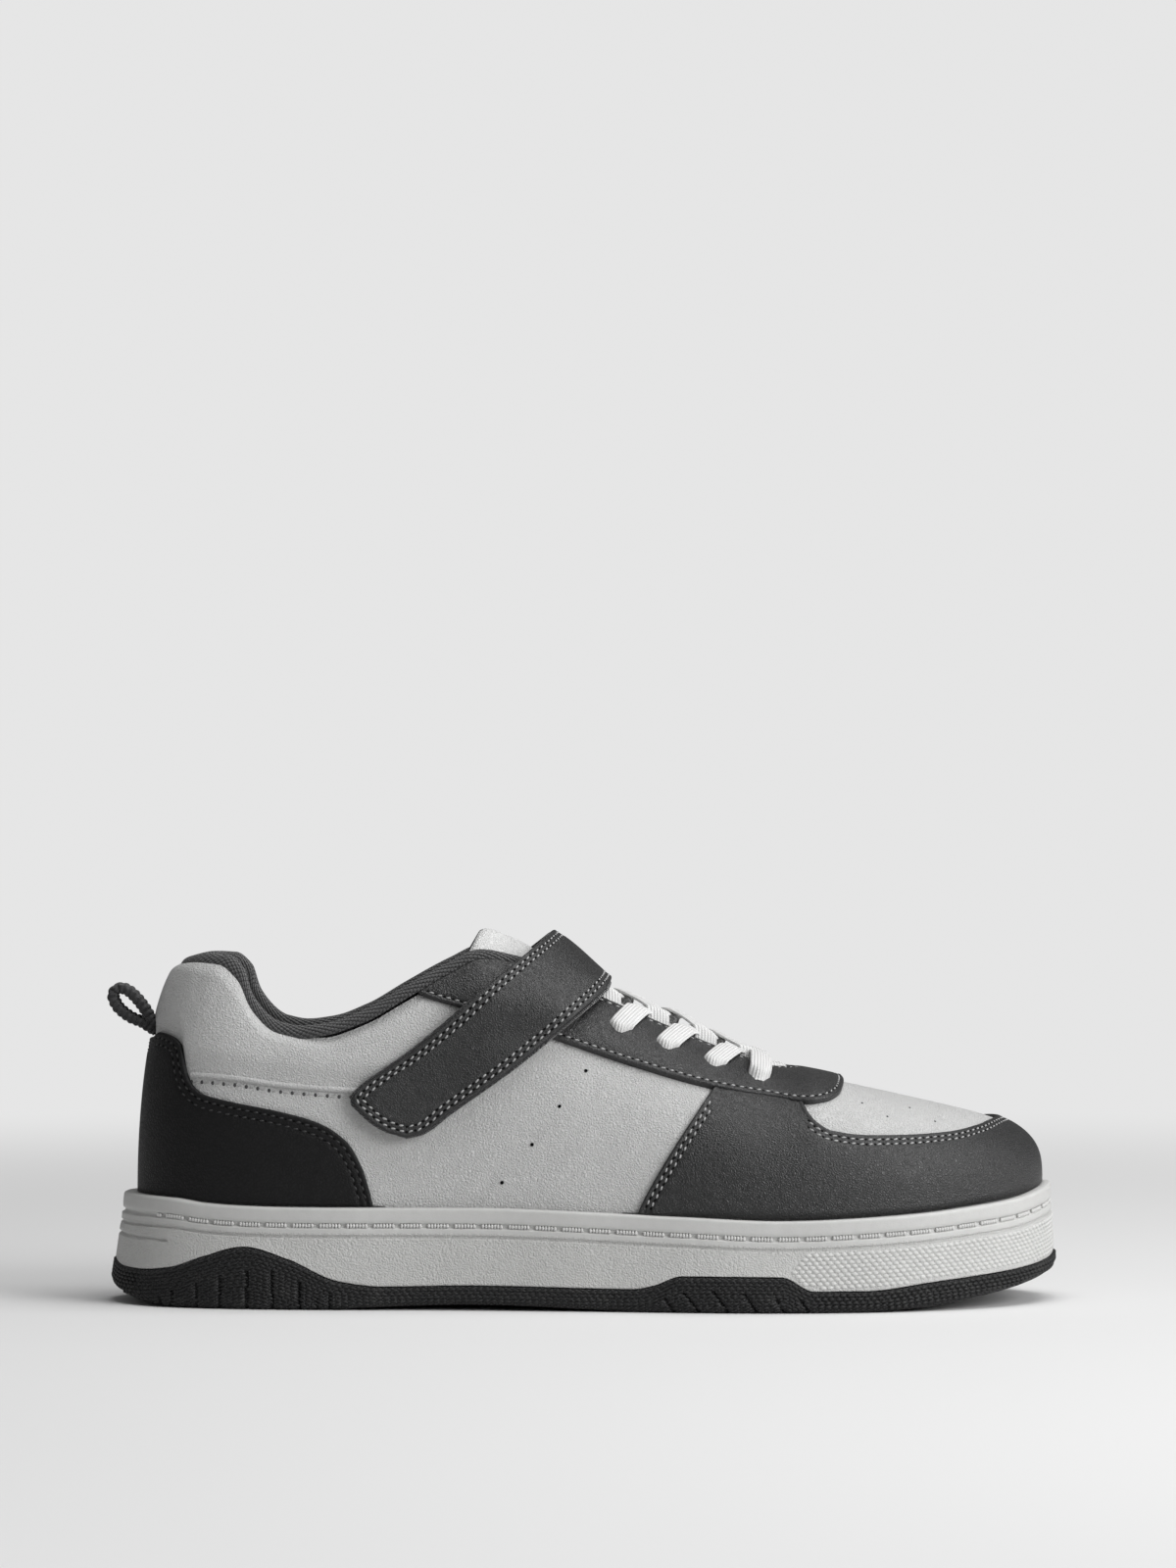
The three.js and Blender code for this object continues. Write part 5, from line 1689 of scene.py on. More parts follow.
@dataclass
class Strap:
    """The hook-and-loop strap closed over the instep: leather on a thin layer of hook cloth."""

    thickness: float = 2.0
    start: float = 0.21
    columns: int = 60
    rows: int = 230
    seams: tuple[float, ...] = (1.4, 2.75)

    @cached_property
    def surface(self) -> Instep:
        """Underside of the strap, over the eyestay and the laces."""
        under = LAST.gap + 1.2 + LAST.gap
        over_laces = 1.2 + 0.5 + 2 * LAST.gap

        def lift(around: Array, rise: Array) -> Array:
            return under + over_laces * smooth(rise, 0.56, 0.74)

        return Instep(LAST.crown["strap"], lift)

    def span(self, across: Array, margin: float = 0.0) -> tuple[Array, Array]:
        """Rounds of the strap's rear and front edges at each across.

        Both are found from the strap's middle line by halving on the side view's edges.

        Args:
            across: places along the strap.
            margin: how far outside those edges, in millimetres.

        Returns:
            Rear and front rounds.
        """
        rear = side_edge_by_height(STRAP_REAR)
        front = side_edge_by_height(STRAP_FRONT)
        tip = STRAP_REAR[0].up * LAST.heel_height

        def middle(around: Array) -> Array:
            place = self.surface.lifted(around, across, 0.0)
            return place[..., 0] - (rear(place[..., 2]) + front(place[..., 2])) / 2

        centre = bisect(middle, np.full_like(across, 0.28), np.full_like(across, 0.56))

        def inside(around: Array) -> Array:
            place = self.surface.lifted(around, across, 0.0)
            gap = np.minimum(place[..., 0] - rear(place[..., 2]), front(place[..., 2]) - place[..., 0])
            return np.minimum(gap, (place[..., 2] - tip) * 3) + margin

        low = bisect(inside, np.full_like(across, 0.2), centre)
        high = bisect(lambda r: -inside(r), centre, np.full_like(across, 0.62))
        return low, high

    def build(self, palette: Palette, stitching: Stitching) -> None:
        """Makes the strap's two layers and its stitches.

        Args:
            palette: the shoe's finishes.
            stitching: the thread.
        """
        leather = (palette.dark_leather, palette.cut_edge, palette.cut_edge)
        hooks = (palette.hook_cloth,) * 3
        self.layer("strap_leather", leather, 0.0, 0.75, self.thickness, ["strap"])
        self.layer("strap_hook_cloth", hooks, 0.7, 0.05, 0.8, [])
        a, b = self.outline(900)
        edge = self.surface.point(a, b)
        rows = []
        for distance in self.seams:
            row_a, row_b = self.surface.inset(a, b, distance, True)
            place = self.surface.point(row_a, row_b)
            keep = from_line(place[None], edge)[0] > 0.96 * distance
            place = self.surface.lifted(row_a, row_b, self.thickness - 0.2)[keep]
            rows.append(stitching.row(place, self.surface.normal(row_a, row_b)[keep]))
        # the needle holes get dark discs of painted shade
        stitching.sew("strap_stitches", rows, palette.light_thread, palette.hole_shade)

    def grid_of(self, margin: float) -> tuple[Array, Array]:
        """Rounds and acrosses of a grid over the strap, out to a margin past its edges."""
        across = spread(self.start, 3 - self.start, self.rows, 1.4, 1.4)
        low, high = self.span(across, margin)
        wide = np.linalg.norm(self.surface.point(low, across) - self.surface.point(high, across), axis=-1)
        keep = wide > 0.4
        share = spread(0, 1, self.columns, 1.7, 1.7)
        around = low[keep, None] + (high - low)[keep, None] * share
        return around, np.broadcast_to(across[keep, None], around.shape)

    def outline(self, count: int) -> tuple[Array, Array]:
        """The strap's edge as a loop of evenly spaced rounds and acrosses."""
        around, cross = self.grid_of(0.0)
        a = np.concatenate([around[:, 0], around[-1, 1:-1], around[::-1, -1], around[0, -2:0:-1]])
        b = np.concatenate([cross[:, 0], cross[-1, 1:-1], cross[::-1, -1], cross[0, -2:0:-1]])
        a = np.append(a, a[0])
        b = np.append(b, b[0])
        far = lengths(self.surface.point(a, b))
        goal = np.linspace(0, far[-1], count, endpoint=False)
        a = np.interp(goal, far, a)
        b = np.interp(goal, far, b)
        middle = self.surface.point(a, b)
        turned = np.cross(middle - middle.mean(axis=0), tangents(middle, True)) * self.surface.normal(a, b)
        return (a, b) if turned.sum() > 0 else (a[::-1], b[::-1])

    def layer(self, name: str, materials: Sequence[bpy.types.Material], margin: float, low: float,
              high: float, replaces: Sequence[str]) -> None:
        """One layer of the strap, its upper face rolled at the edges and pressed in along the seams.

        Args:
            name: the piece's name.
            materials: of its top, underside and rim.
            margin: how far it reaches past the strap's own edge.
            low: height of its underside.
            high: height of its upper face.
            replaces: the CAD nodes that it stands for.
        """
        around, cross = self.grid_of(margin)
        base = self.surface.point(around, cross)
        ring = np.concatenate([base[:, 0], base[-1], base[::-1, -1], base[0, ::-1]])
        far = np.linspace(0, 1, 4)[:, None, None]
        ring = (ring[None, :-1] * (1 - far) + ring[None, 1:] * far).reshape(-1, 3)
        distance = from_line(base, ring)
        lift = low + (high - low) * (0.4 + 0.6 * roll(distance, 0.8))
        if high > 1:
            for seam in self.seams:
                lift = lift - 0.22 * bell(distance, seam, 0.45)
        face = self.surface.lifted(around, cross, lift)
        under = self.surface.lifted(around, cross, low)
        side = np.linalg.norm(base - base[:, :1], axis=-1)
        run = lengths(base[:, self.columns // 2])
        uv = np.stack([side, np.broadcast_to(run[:, None], side.shape)], axis=-1)
        normal = self.surface.normal(around, cross).reshape(-1, 3)
        top = grid(face, uv=uv, edge=distance).facing(normal)
        bottom = grid(under, uv=uv, edge=distance * 0).facing(-normal)
        work = joined([top, bottom, self.rim(face, under)])
        piece(name, work, materials, replaces, weld=0.02)

    @staticmethod
    def rim(face: Array, under: Array) -> Sheetwork:
        """Closes the edge between the upper and lower grids.

        Args:
            face: upper grid.
            under: lower grid.

        Returns:
            A ribbon round both.
        """
        def ring(points: Array) -> Array:
            return np.concatenate([points[0, :-1], points[:-1, -1], points[-1, :0:-1], points[:0:-1, 0]])

        loops = np.stack([ring(face), ring(under)])
        centre = face.reshape(-1, 3).mean(axis=0)
        outward = (loops - centre).reshape(-1, 3)
        return grid(loops, wrap_columns=True).facing(outward)


@dataclass
class Laces:
    """Flat laces through the eyelets, criss-cross over the tongue."""

    width: float = 6.0
    thickness: float = 1.1
    overlap: float = 0.5
    reach: float = 0.8
    far_end: float = 2.06
    bows: tuple[float, float] = (2.5, 1.9)
    narrowing: float = 0.3
    arch: float = 0.25
    eyelet_dive: float = 2.6
    edge_dive: float = 3.4
    columns: int = 22
    rows: int = 90

    @cached_property
    def surface(self) -> Instep:
        """What the laces lie on."""
        under = LAST.gap + 1.2 + 1.5 * LAST.gap
        return Instep(LAST.crown["lace"], lambda around, rise: np.full(np.shape(around), under))

    def strand(self, eyelet: float, end: float, side: Side, lift: float, through: bool = False) -> Sheetwork:
        """One lace from an eyelet over the tongue to the far throat edge or the eyelet across.

        At an eyelet the tape narrows and turns down, its edges before its middle, which leaves a round
        end; at the throat's far edge it slides down under the wall.

        Args:
            eyelet: the eyelet's share of the length.
            end: share of the length at the other end.
            side: which side the eyelet is on.
            lift: height over the surface.
            through: whether it ends in the eyelet across, else under the throat's edge.

        Returns:
            A closed flat tube with rounded edges.
        """
        last = 3 - self.reach if through else self.far_end
        across = spread(self.reach - 0.05, last + (0.05 if through else 0.0), self.rows, 1.5, 1.4)
        share = np.clip((across - self.reach) / (last - self.reach), 0, 1)
        share = 1 - (1 - share) ** self.bows[0] if side is Side.LATERAL else share ** self.bows[1]
        middle = eyelet + (end - eyelet) * share
        angle = np.linspace(0, 2 * np.pi, self.columns, endpoint=False)
        flat = np.sign(np.cos(angle)) * np.abs(np.cos(angle)) ** 0.6
        thick = np.sign(np.sin(angle)) * np.abs(np.sin(angle)) ** 0.8
        near = across - across[0]
        if through:
            near = np.minimum(near, across[-1] - across)
        pinch = 1 - self.narrowing * (1 - smooth(near, 0.0, 0.07))
        offset = flat[None, :] * self.width / 2 * pinch[:, None]
        around = LAST.round_at(middle[:, None] + offset / LAST.length)
        cross = np.broadcast_to(across[:, None], around.shape)
        edges = near[:, None] - 0.045 * flat[None, :] ** 2
        height = lift - self.eyelet_dive * (1 - smooth(edges, -0.012, 0.06)) ** 2
        if not through:
            height = height - (self.edge_dive + lift) * smooth(across, 1.88, 2.02)[:, None]
        height = height + self.thickness * (0.5 + 0.5 * thick[None, :]) + self.arch * (1 - flat[None, :] ** 2)
        if side is Side.MEDIAL:
            cross = 3 - cross
        points = self.surface.lifted(around, cross, height)
        run = lengths(points.mean(axis=1))
        uv = np.stack([np.broadcast_to(run[:, None], around.shape), offset + self.width / 2], axis=-1)
        return grid(points, uv=uv, wrap_columns=True).closed_out()

    def build(self, palette: Palette) -> None:
        """Makes every crossing as one piece: lateral strands below, medial ones over them, a bar in front.

        Args:
            palette: the shoe's finishes.
        """
        over = self.overlap + self.thickness * 0.6
        strands = [self.strand(EYELETS[0], EYELETS[0], Side.LATERAL, over, through=True)]
        for nearer, farther in zip(EYELETS[:-1], EYELETS[1:]):
            strands.append(self.strand(farther, nearer, Side.LATERAL, 0.0))
            strands.append(self.strand(farther, nearer, Side.MEDIAL, over))
        strands.append(self.strand(EYELETS[0] + 0.022, EYELETS[0] + 0.022, Side.MEDIAL, -1.0))
        piece("laces_flat", joined(strands), [palette.lace], ["laces"])


@dataclass
class PullLoop:
    """The ribbed webbing loop sewn in at the heel."""

    width: float = 11.0
    thick: float = 2.7
    seat: float = 0.806
    reach: float = 12.5
    rib: float = 1.55

    def build(self, palette: Palette) -> None:
        """Sweeps the tape's flat section along the loop's middle line.

        Args:
            palette: the shoe's finishes.
        """
        path = np.array([row[:2] for row in LOOP_PATH]) * self.reach
        seat = self.seat * LAST.heel_height
        rise = bisect(lambda r: LAST.point(np.zeros_like(r), r)[..., 2] - seat, np.zeros(1), np.ones(1))
        foot = LAST.point(np.zeros(1), rise)[0, 0]
        far = lengths(path)
        at = np.linspace(0, far[-1], 240)
        back = Column(far, path[:, 0], False)(at)
        up = Column(far, path[:, 1], False)(at)
        middle = np.stack([foot - LAST.gap - back, 0 * back, seat + up], axis=-1)
        run = tangents(middle)
        out = np.cross(run, [0, 1, 0])
        angle = np.linspace(0, 2 * np.pi, 24, endpoint=False)
        wide = np.sign(np.cos(angle)) * np.abs(np.cos(angle)) ** 0.35 * self.width / 2
        deep = np.sign(np.sin(angle)) * np.abs(np.sin(angle)) ** 0.6 * self.thick / 2
        run_far = lengths(middle)
        rib = 0.88 + 0.24 * np.abs(np.sin(np.pi * run_far / self.rib))
        points = middle[:, None] + out[:, None] * (deep[None, :] * rib[:, None])[..., None]
        points = points + np.array([0, 1, 0]) * wide[None, :, None]
        uv = np.stack(np.broadcast_arrays(wide[None, :], run_far[:, None]), axis=-1)
        work = grid(points, uv=uv, wrap_columns=True).closed_out()
        piece("heel_pull_loop", work, [palette.webbing], ["pull_loop"])


class LoopRow(NamedTuple):
    """A point of the pull loop's middle line: shares of its reach behind and above its foot."""

    back: float
    up: float


LOOP_PATH = (
    LoopRow(-0.02, 0.0), LoopRow(0.12, 0.14), LoopRow(0.25, 0.35), LoopRow(0.42, 0.57), LoopRow(0.6, 0.73),
    LoopRow(0.76, 0.79), LoopRow(0.88, 0.74), LoopRow(0.92, 0.62), LoopRow(0.85, 0.43), LoopRow(0.7, 0.27),
    LoopRow(0.5, 0.14), LoopRow(0.3, 0.06), LoopRow(0.14, -0.04), LoopRow(0.0, -0.13),
)


@dataclass
class Sole:
    """Sizes that the midsole and outsole share."""

    rim_wall: float = 3.6
    side_flare: float = 0.6
    rim_band: float = 4.2
    groove_width: float = 1.0
    groove_depth: float = 0.8
    fine_groove: float = 0.42
    bead_pitch: float = 1.86
    lower_band: float = 1.9
    band_step: float = 0.1
    outsole_wall: float = 3.0
    plate: float = 4.6
    columns: int = 1200

    def halves(self, ring: Array) -> tuple[Array, Array]:
        """The lateral and the medial half of a ring, both heel first."""
        half = self.columns // 2
        return ring[: half + 1], np.concatenate([ring[:1], ring[:half - 1:-1]])

    def ruled(self, ring: Array, up: float, across: int = 9) -> Sheetwork:
        """A floor ruled between the lateral and the medial half of a ring.

        Args:
            ring: its points, heel first.
            up: 1 when it faces up, -1 when down.
            across: how many points from side to side.

        Returns:
            The floor.
        """
        lateral, medial = self.halves(ring)
        share = np.linspace(0, 1, across)[None, :, None]
        work = grid(lateral[:, None] * (1 - share) + medial[:, None] * share)
        return work.facing(np.broadcast_to([0.0, 0, up], (len(work.points), 3)))


@dataclass
class Midsole(Sole):
    """The off-white rubber cup: smooth rim band, beaded channel, second groove, pebbled side, bead panel."""

    side_rows: int = 26
    heel_groove: float = 10.6
    dash: float = 7.1
    dash_beads: int = 7
    dash_pitch: float = 0.8
    panel_start: float = 171.0
    panel_drops: tuple[float, float, float] = (9.0, 24.0, 1.06)

    def flare(self, drop: Array) -> Array:
        """How far the side stands out at a drop below the rim: bands less two channels exp(-(x / w)^4).

        Args:
            drop: millimetres below the rim.

        Returns:
            Millimetres outside the last's outline.
        """
        first = self.rim_band + self.groove_width / 2
        second = self.rim_band + self.groove_width + self.lower_band + self.groove_width / 2
        out = self.rim_wall + self.band_step * (smooth(drop, first - 0.3, first + 0.3))
        out = out + self.band_step * smooth(drop, second - 0.3, second + 0.3)
        out = out - self.groove_depth * 0.95 * trough(drop - first, 0.66)
        out = out - self.groove_depth * 0.7 * trough(drop - second, self.fine_groove)
        return out - 0.75 * (1 - roll(drop, 0.9))

    def build(self, palette: Palette) -> None:
        """Makes the cup's body and its relief.

        Args:
            palette: the shoe's finishes.
        """
        turn = np.linspace(0, 2, self.columns, endpoint=False)
        around, _ = LAST.split(turn)
        rim = LAST.sole["rim"](around)
        wave = LAST.sole["wave"](around) + LAST.gap
        bed = LAST.sole["bed"](around)
        kick = LAST.sole["kick"](around)
        flat = 0 * turn
        edge_drops = np.linspace(0, 0.9, 6)[1:]
        upper_drops = np.concatenate([edge_drops, np.linspace(1.5, 3.9, 4), np.linspace(4.0, 8.6, 33)])
        rows = [(flat + LAST.gap, bed, 0.0), (flat + LAST.gap, rim - 0.3, 0.0), (flat + 0.7, rim, 0.2)]
        for drop in np.concatenate([[0.0], upper_drops]):
            rows.append((flat + self.flare(np.array(drop)), rim - drop, 0.4 + 0.025 * drop))
        last_drop = upper_drops[-1]
        second = self.flare(np.array(last_drop))
        for share in np.linspace(0, 1, self.side_rows)[1:]:
            height = (rim - last_drop) * (1 - share) + wave * share
            out = second + (self.rim_wall + self.side_flare - second) * share
            below = rim - height - self.heel_groove - 30 * around ** 2
            third = trough(below, self.fine_groove) * smooth(around, 0.14, 0.132)
            level = np.minimum(height, rim - last_drop)
            rows.append((flat + out - 0.75 * third, level, 0.65 + 0.25 * share))
        core = self.rim_wall + self.side_flare - self.outsole_wall - LAST.gap
        plate = np.maximum(self.plate, LAST.sole["ground"](around) + 2) + LAST.gap
        rows.append((flat + core, wave, 0.9))
        rows.append((flat + core, np.minimum(plate, wave), 0.9))
        points = np.stack([
            np.concatenate([LAST.grown(turn, grow + share * kick), height[:, None]], axis=-1)
            for grow, height, share in rows
        ])
        bottom = self.ruled(points[-1], -1.0)
        top = self.ruled(points[0], 1.0)
        side = grid(points, wrap_columns=True)
        outward = points - np.array([LAST.length / 2, 0, 15.0])
        outward[:3] *= -1
        side = side.facing(outward.reshape(-1, 3))
        work = joined([side, top, bottom])
        row_of = np.repeat(np.arange(len(rows) - 1), self.columns)
        smooth_rows = (row_of >= 1) & (row_of < 3 + len(upper_drops) - 14)
        part = np.zeros(len(work.faces), int)
        part[: len(row_of)] = smooth_rows
        work.part = part
        piece("midsole_cup", work, [palette.midsole, palette.smooth_rubber], ["midsole"],
              weld=0.02)
        self.beads(palette)

    def beads(self, palette: Palette) -> None:
        """Makes the moulded beads, dashes of seven in the upper channel and the staggered panel at the toe, in the
        midsole's rubber painted lighter as a painted highlight.

        Args:
            palette: the shoe's finishes.
        """
        turn = np.linspace(0, 2, 4000)
        far = lengths(LAST.grown(turn, self.rim_wall))
        dashes = np.arange(self.dash, far[-1] - self.dash, self.dash)
        run = (dashes[:, None] + np.arange(self.dash_beads)[None, :] * self.dash_pitch).ravel()
        at = np.interp(run, far, turn)
        at = at[LAST.split(at)[0] > 0.12]
        first = self.rim_band + self.groove_width / 2
        grow = float(self.flare(np.array(first))) + 0.4
        parts = [self.studs(at, np.full_like(at, first), grow, (0.9, 1.45, 1.1))]
        drops = np.arange(*self.panel_drops)
        run = np.arange(0, far[-1], self.bead_pitch)
        stagger = self.bead_pitch / 2 * (np.arange(len(drops)) % 2)
        at = np.interp(run[None, :] + stagger[:, None], far, turn)
        drop = np.broadcast_to(drops[:, None], at.shape)
        around = LAST.split(at)[0]
        side = LAST.sole["rim"](around) - LAST.sole["wave"](around) - LAST.gap
        begin = self.panel_start + 0.75 * np.abs(drop - 14) - 0.1 * (drop - 14)
        keep = (LAST.outline(at)[..., 0] > begin) & (drop < side - 0.9)
        share = (drop - 8.6) / (side - 8.6)
        out = self.rim_wall + 0.2 + (self.side_flare - 0.2) * share
        parts.append(self.studs(at[keep], drop[keep], out[keep] - 0.05, (1.75, 1.3, 0.85)))
        # the beads take the lighter rubber, a painted highlight
        piece("midsole_beads", joined(parts), [palette.highlit_bead_rubber])

    def studs(self, turn: Array, drop: Array, grow: Array | float, size: Sequence[float]) -> Sheetwork:
        """Beads set in the cup's side.

        Args:
            turn: where.
            drop: millimetres below the rim.
            grow: how far out.
            size: length, height and depth of a bead.

        Returns:
            The beads.
        """
        around, _ = LAST.split(turn)
        plan = LAST.grown(turn, grow + LAST.sole["kick"](around) * (0.4 + 0.025 * drop))
        centre = np.concatenate([plan, (LAST.sole["rim"](around) - drop)[:, None]], axis=-1)
        flat = LAST.grown(turn + 0.003, 3.0) - LAST.grown(turn - 0.003, 3.0)
        ahead = unit(np.concatenate([flat, np.zeros((len(turn), 1))], axis=-1))
        return scatter(centre, ahead, np.cross(ahead, [0.0, 0, 1]), size, 4, 6)


@dataclass
class Outsole(Sole):
    """The dark rubber outsole: wave-edged wall, rounded shoulder, and a tread cut across."""

    columns: int = 1600
    lug_depth: float = 2.2
    lug_groove: float = 2.6
    across: int = 28
    bead_drops: tuple[float, float, float] = (0.7, 19.0, 0.98)
    bead: tuple[float, float, float] = (1.75, 1.2, 1.0)
    scale: tuple[float, float, float] = (1.8, 0.9, 0.55)

    def sipes(self, x: Array, height: Array) -> Array:
        """Depth of the slots cut in the side: narrow troughs over x that lean with the height at the forefoot.

        Args:
            x: length from the last's heel.
            height: millimetres over the floor.

        Returns:
            Depth, in millimetres.
        """
        depth = np.zeros(np.broadcast(x, height).shape)
        for along, lean, top, deep in SIPES:
            line = x - along - lean * height
            slot = 1.15 * deep * trough(line, 0.4) * smooth(height, top, top - 0.8)
            depth = np.maximum(depth, slot)
        return depth

    def build(self, palette: Palette) -> None:
        """Makes the outsole's wall and its tread.

        Args:
            palette: the shoe's finishes.
        """
        turn = np.linspace(0, 2, self.columns, endpoint=False)
        around, _ = LAST.split(turn)
        wave = LAST.sole["wave"](around)
        ground = LAST.sole["ground"](around)
        kick = LAST.sole["kick"](around)
        plate = np.minimum(np.maximum(self.plate, ground + 2), wave)
        outer = np.full_like(turn, self.rim_wall + self.side_flare + self.band_step)
        inner = outer - self.outsole_wall
        shoulder = np.minimum(ground + 2.4, wave - 0.4)
        rows = [(inner, plate, 0.9), (inner, wave - 0.1, 0.9), (outer - 0.35, wave, 0.9)]
        for share in np.linspace(0.02, 1, 14):
            rows.append((outer + 0.4 * share, wave + (shoulder - wave) * share, 0.9 + 0.1 * share))
        for share in np.linspace(0, 1, 9)[1:]:
            bent = 1 - math.cos(share * math.pi / 2)
            fall = math.sin(share * math.pi / 2)
            height = shoulder + (ground - shoulder) * fall
            rows.append((outer + 0.4 - 1.8 * bent, height, 1 - 0.4 * bent))
        grows = np.stack([row[0] for row in rows])
        heights = np.stack([row[1] for row in rows])
        kicks = np.array([row[2] for row in rows])[:, None] * kick
        place = LAST.grown(np.broadcast_to(turn, grows.shape), grows + kicks)
        cut = self.sipes(place[..., 0], heights)
        cut[:3] = 0
        place = LAST.grown(np.broadcast_to(turn, grows.shape), grows + kicks - cut)
        points = np.concatenate([place, heights[..., None]], axis=-1)
        uv = np.stack(np.broadcast_arrays(lengths(points[8])[None, :], heights), axis=-1)
        side = grid(points, uv=uv, wrap_columns=True)
        outward = points - np.array([LAST.length / 2, 0, 8.0])
        outward[:1] *= -1
        side = side.facing(outward.reshape(-1, 3))
        self.studs(points[3:], ground, palette)
        tread = self.tread(points[-1])
        top = self.ruled(points[0], 1.0)
        work = joined([side, tread, top])
        finishes = [palette.outsole, palette.tread, palette.tread]
        piece("outsole_rubber", work, finishes, ["outsole"], weld=0.02)

    def studs(self, wall: Array, ground: Array, palette: Palette) -> None:
        """Makes the wall's relief in staggered rows: round beads at toe and heel, flat scales between them.

        Args:
            wall: the wall's rows of points, its edge first.
            ground: the underside's height in each column.
            palette: the shoe's finishes.
        """
        drop = np.concatenate([np.zeros((1, wall.shape[1])),
                               np.cumsum(np.linalg.norm(np.diff(wall, axis=0), axis=-1), axis=0)])
        parts = []
        for number, below in enumerate(np.arange(*self.bead_drops)):
            low = np.clip((drop < below).sum(axis=0), 1, len(wall) - 1)[None, :]
            before = np.take_along_axis(drop, low - 1, axis=0)
            share = (below - before) / (np.take_along_axis(drop, low, axis=0) - before)
            row = np.take_along_axis(wall, low[..., None] - 1, axis=0) * (1 - share[..., None])
            row = (row + np.take_along_axis(wall, low[..., None], axis=0) * share[..., None])[0]
            far = lengths(row)
            run = np.arange(self.bead_pitch / 2 * (number % 2), far[-1], self.bead_pitch)
            centre = np.stack([np.interp(run, far, row[:, axis]) for axis in range(3)], axis=-1)
            ahead = tangents(centre)
            end = (centre[:, 0] > 176.5 + 0.6 * below) | (centre[:, 0] < 0.5 - 0.3 * below)
            free = self.sipes(centre[:, 0], centre[:, 2]) < 0.2
            free &= centre[:, 2] > np.interp(run, far, ground) + 0.9
            free &= np.interp(run, far, drop[-1]) > below
            outward = np.cross(ahead, [0.0, 0, 1])
            for keep, size in ((end & free, self.bead), (~end & free, self.scale)):
                parts.append(scatter(centre[keep], ahead[keep], outward[keep], size, 4, 6))
        piece("outsole_beads", joined(parts), [palette.outsole])

    def tread(self, ring: Array) -> Sheetwork:
        """The sole's underside, ruled from side to side and cut by grooves across.

        Args:
            ring: the edge's points, heel first.

        Returns:
            The underside.
        """
        lateral, medial = self.halves(ring)
        share = np.linspace(0, 1, self.across)[None, :]
        points = lateral[:, None] * (1 - share)[..., None] + medial[:, None] * share[..., None]
        depth = np.zeros(points.shape[:2])
        for along in np.concatenate([np.linspace(0.1, 0.3, 6), np.linspace(0.56, 0.88, 8)]):
            line = points[..., 0] - along * LAST.length
            depth = np.maximum(depth, self.lug_depth * np.exp(-((line / (self.lug_groove / 2)) ** 6)))
        edge = np.minimum(share, 1 - share) * np.linalg.norm(lateral - medial, axis=-1)[:, None]
        points[..., 2] += depth * smooth(edge, 0.0, 1.2)
        work = grid(points)
        return work.facing(np.broadcast_to([0.0, 0, -1], (len(work.points), 3)))


SIPES = (
    (6.4, 0.0, 3.0, 0.8), (9.6, 0.0, 5.0, 0.8), (16.2, 0.0, 7.0, 0.6), (22.6, 0.0, 9.3, 0.8),
    (29.7, 0.0, 10.5, 0.9), (36.5, 0.0, 10.5, 0.9), (43.7, 0.0, 8.0, 0.9), (48.3, 0.0, 3.4, 0.8),
    (51.6, 0.0, 5.0, 0.8),
    (142.0, -0.75, 4.6, 0.8), (148.5, -0.85, 6.0, 0.9), (156.0, -0.75, 6.3, 0.9), (163.5, -0.75, 5.6, 0.9),
    (170.5, -0.6, 5.2, 0.8), (177.0, -0.7, 4.2, 0.8),
)


@dataclass
class Insole:
    """The cloth-covered footbed inside the shoe."""

    thickness: float = 3.0
    columns: int = 200
    across: int = 36

    def build(self, palette: Palette) -> None:
        """Makes a pad whose face dips to the middle and rises at its rim.

        Args:
            palette: the shoe's finishes.
        """
        around = np.linspace(0, 1, self.columns)
        inset = -(LAST.upper_wall + 2 * LAST.gap + 0.1)
        lateral = LAST.grown(around, np.full_like(around, inset))
        medial = LAST.grown(2 - around, np.full_like(around, inset))
        share = spread(0, 1, self.across, 1.5, 1.5)[None, :, None]
        plan = lateral[:, None] * (1 - share) + medial[:, None] * share
        low = (LAST.sole["bed"](around) + LAST.gap)[:, None] + 0 * share[..., 0]
        side = np.minimum(share[..., 0], 1 - share[..., 0])
        end = np.minimum(around, 1 - around)[:, None]
        full = roll(side, 0.06) * roll(end, 0.02)
        cup = 0.9 * (1 - smooth(side, 0.0, 0.35)) - 0.3
        high = low + np.maximum(self.thickness * full + np.minimum(cup, 0.0), 0.02)
        top = np.concatenate([plan, high[..., None]], axis=-1)
        bottom = np.concatenate([plan, low[..., None]], axis=-1)
        up = np.broadcast_to([0.0, 0, 1], (top.shape[0] * top.shape[1], 3))
        work = joined([grid(top, uv=plan).facing(up), grid(bottom, uv=plan).facing(-up)])
        made = piece("insole_cloth", work, [palette.insole], ["insole"], weld=0.03)


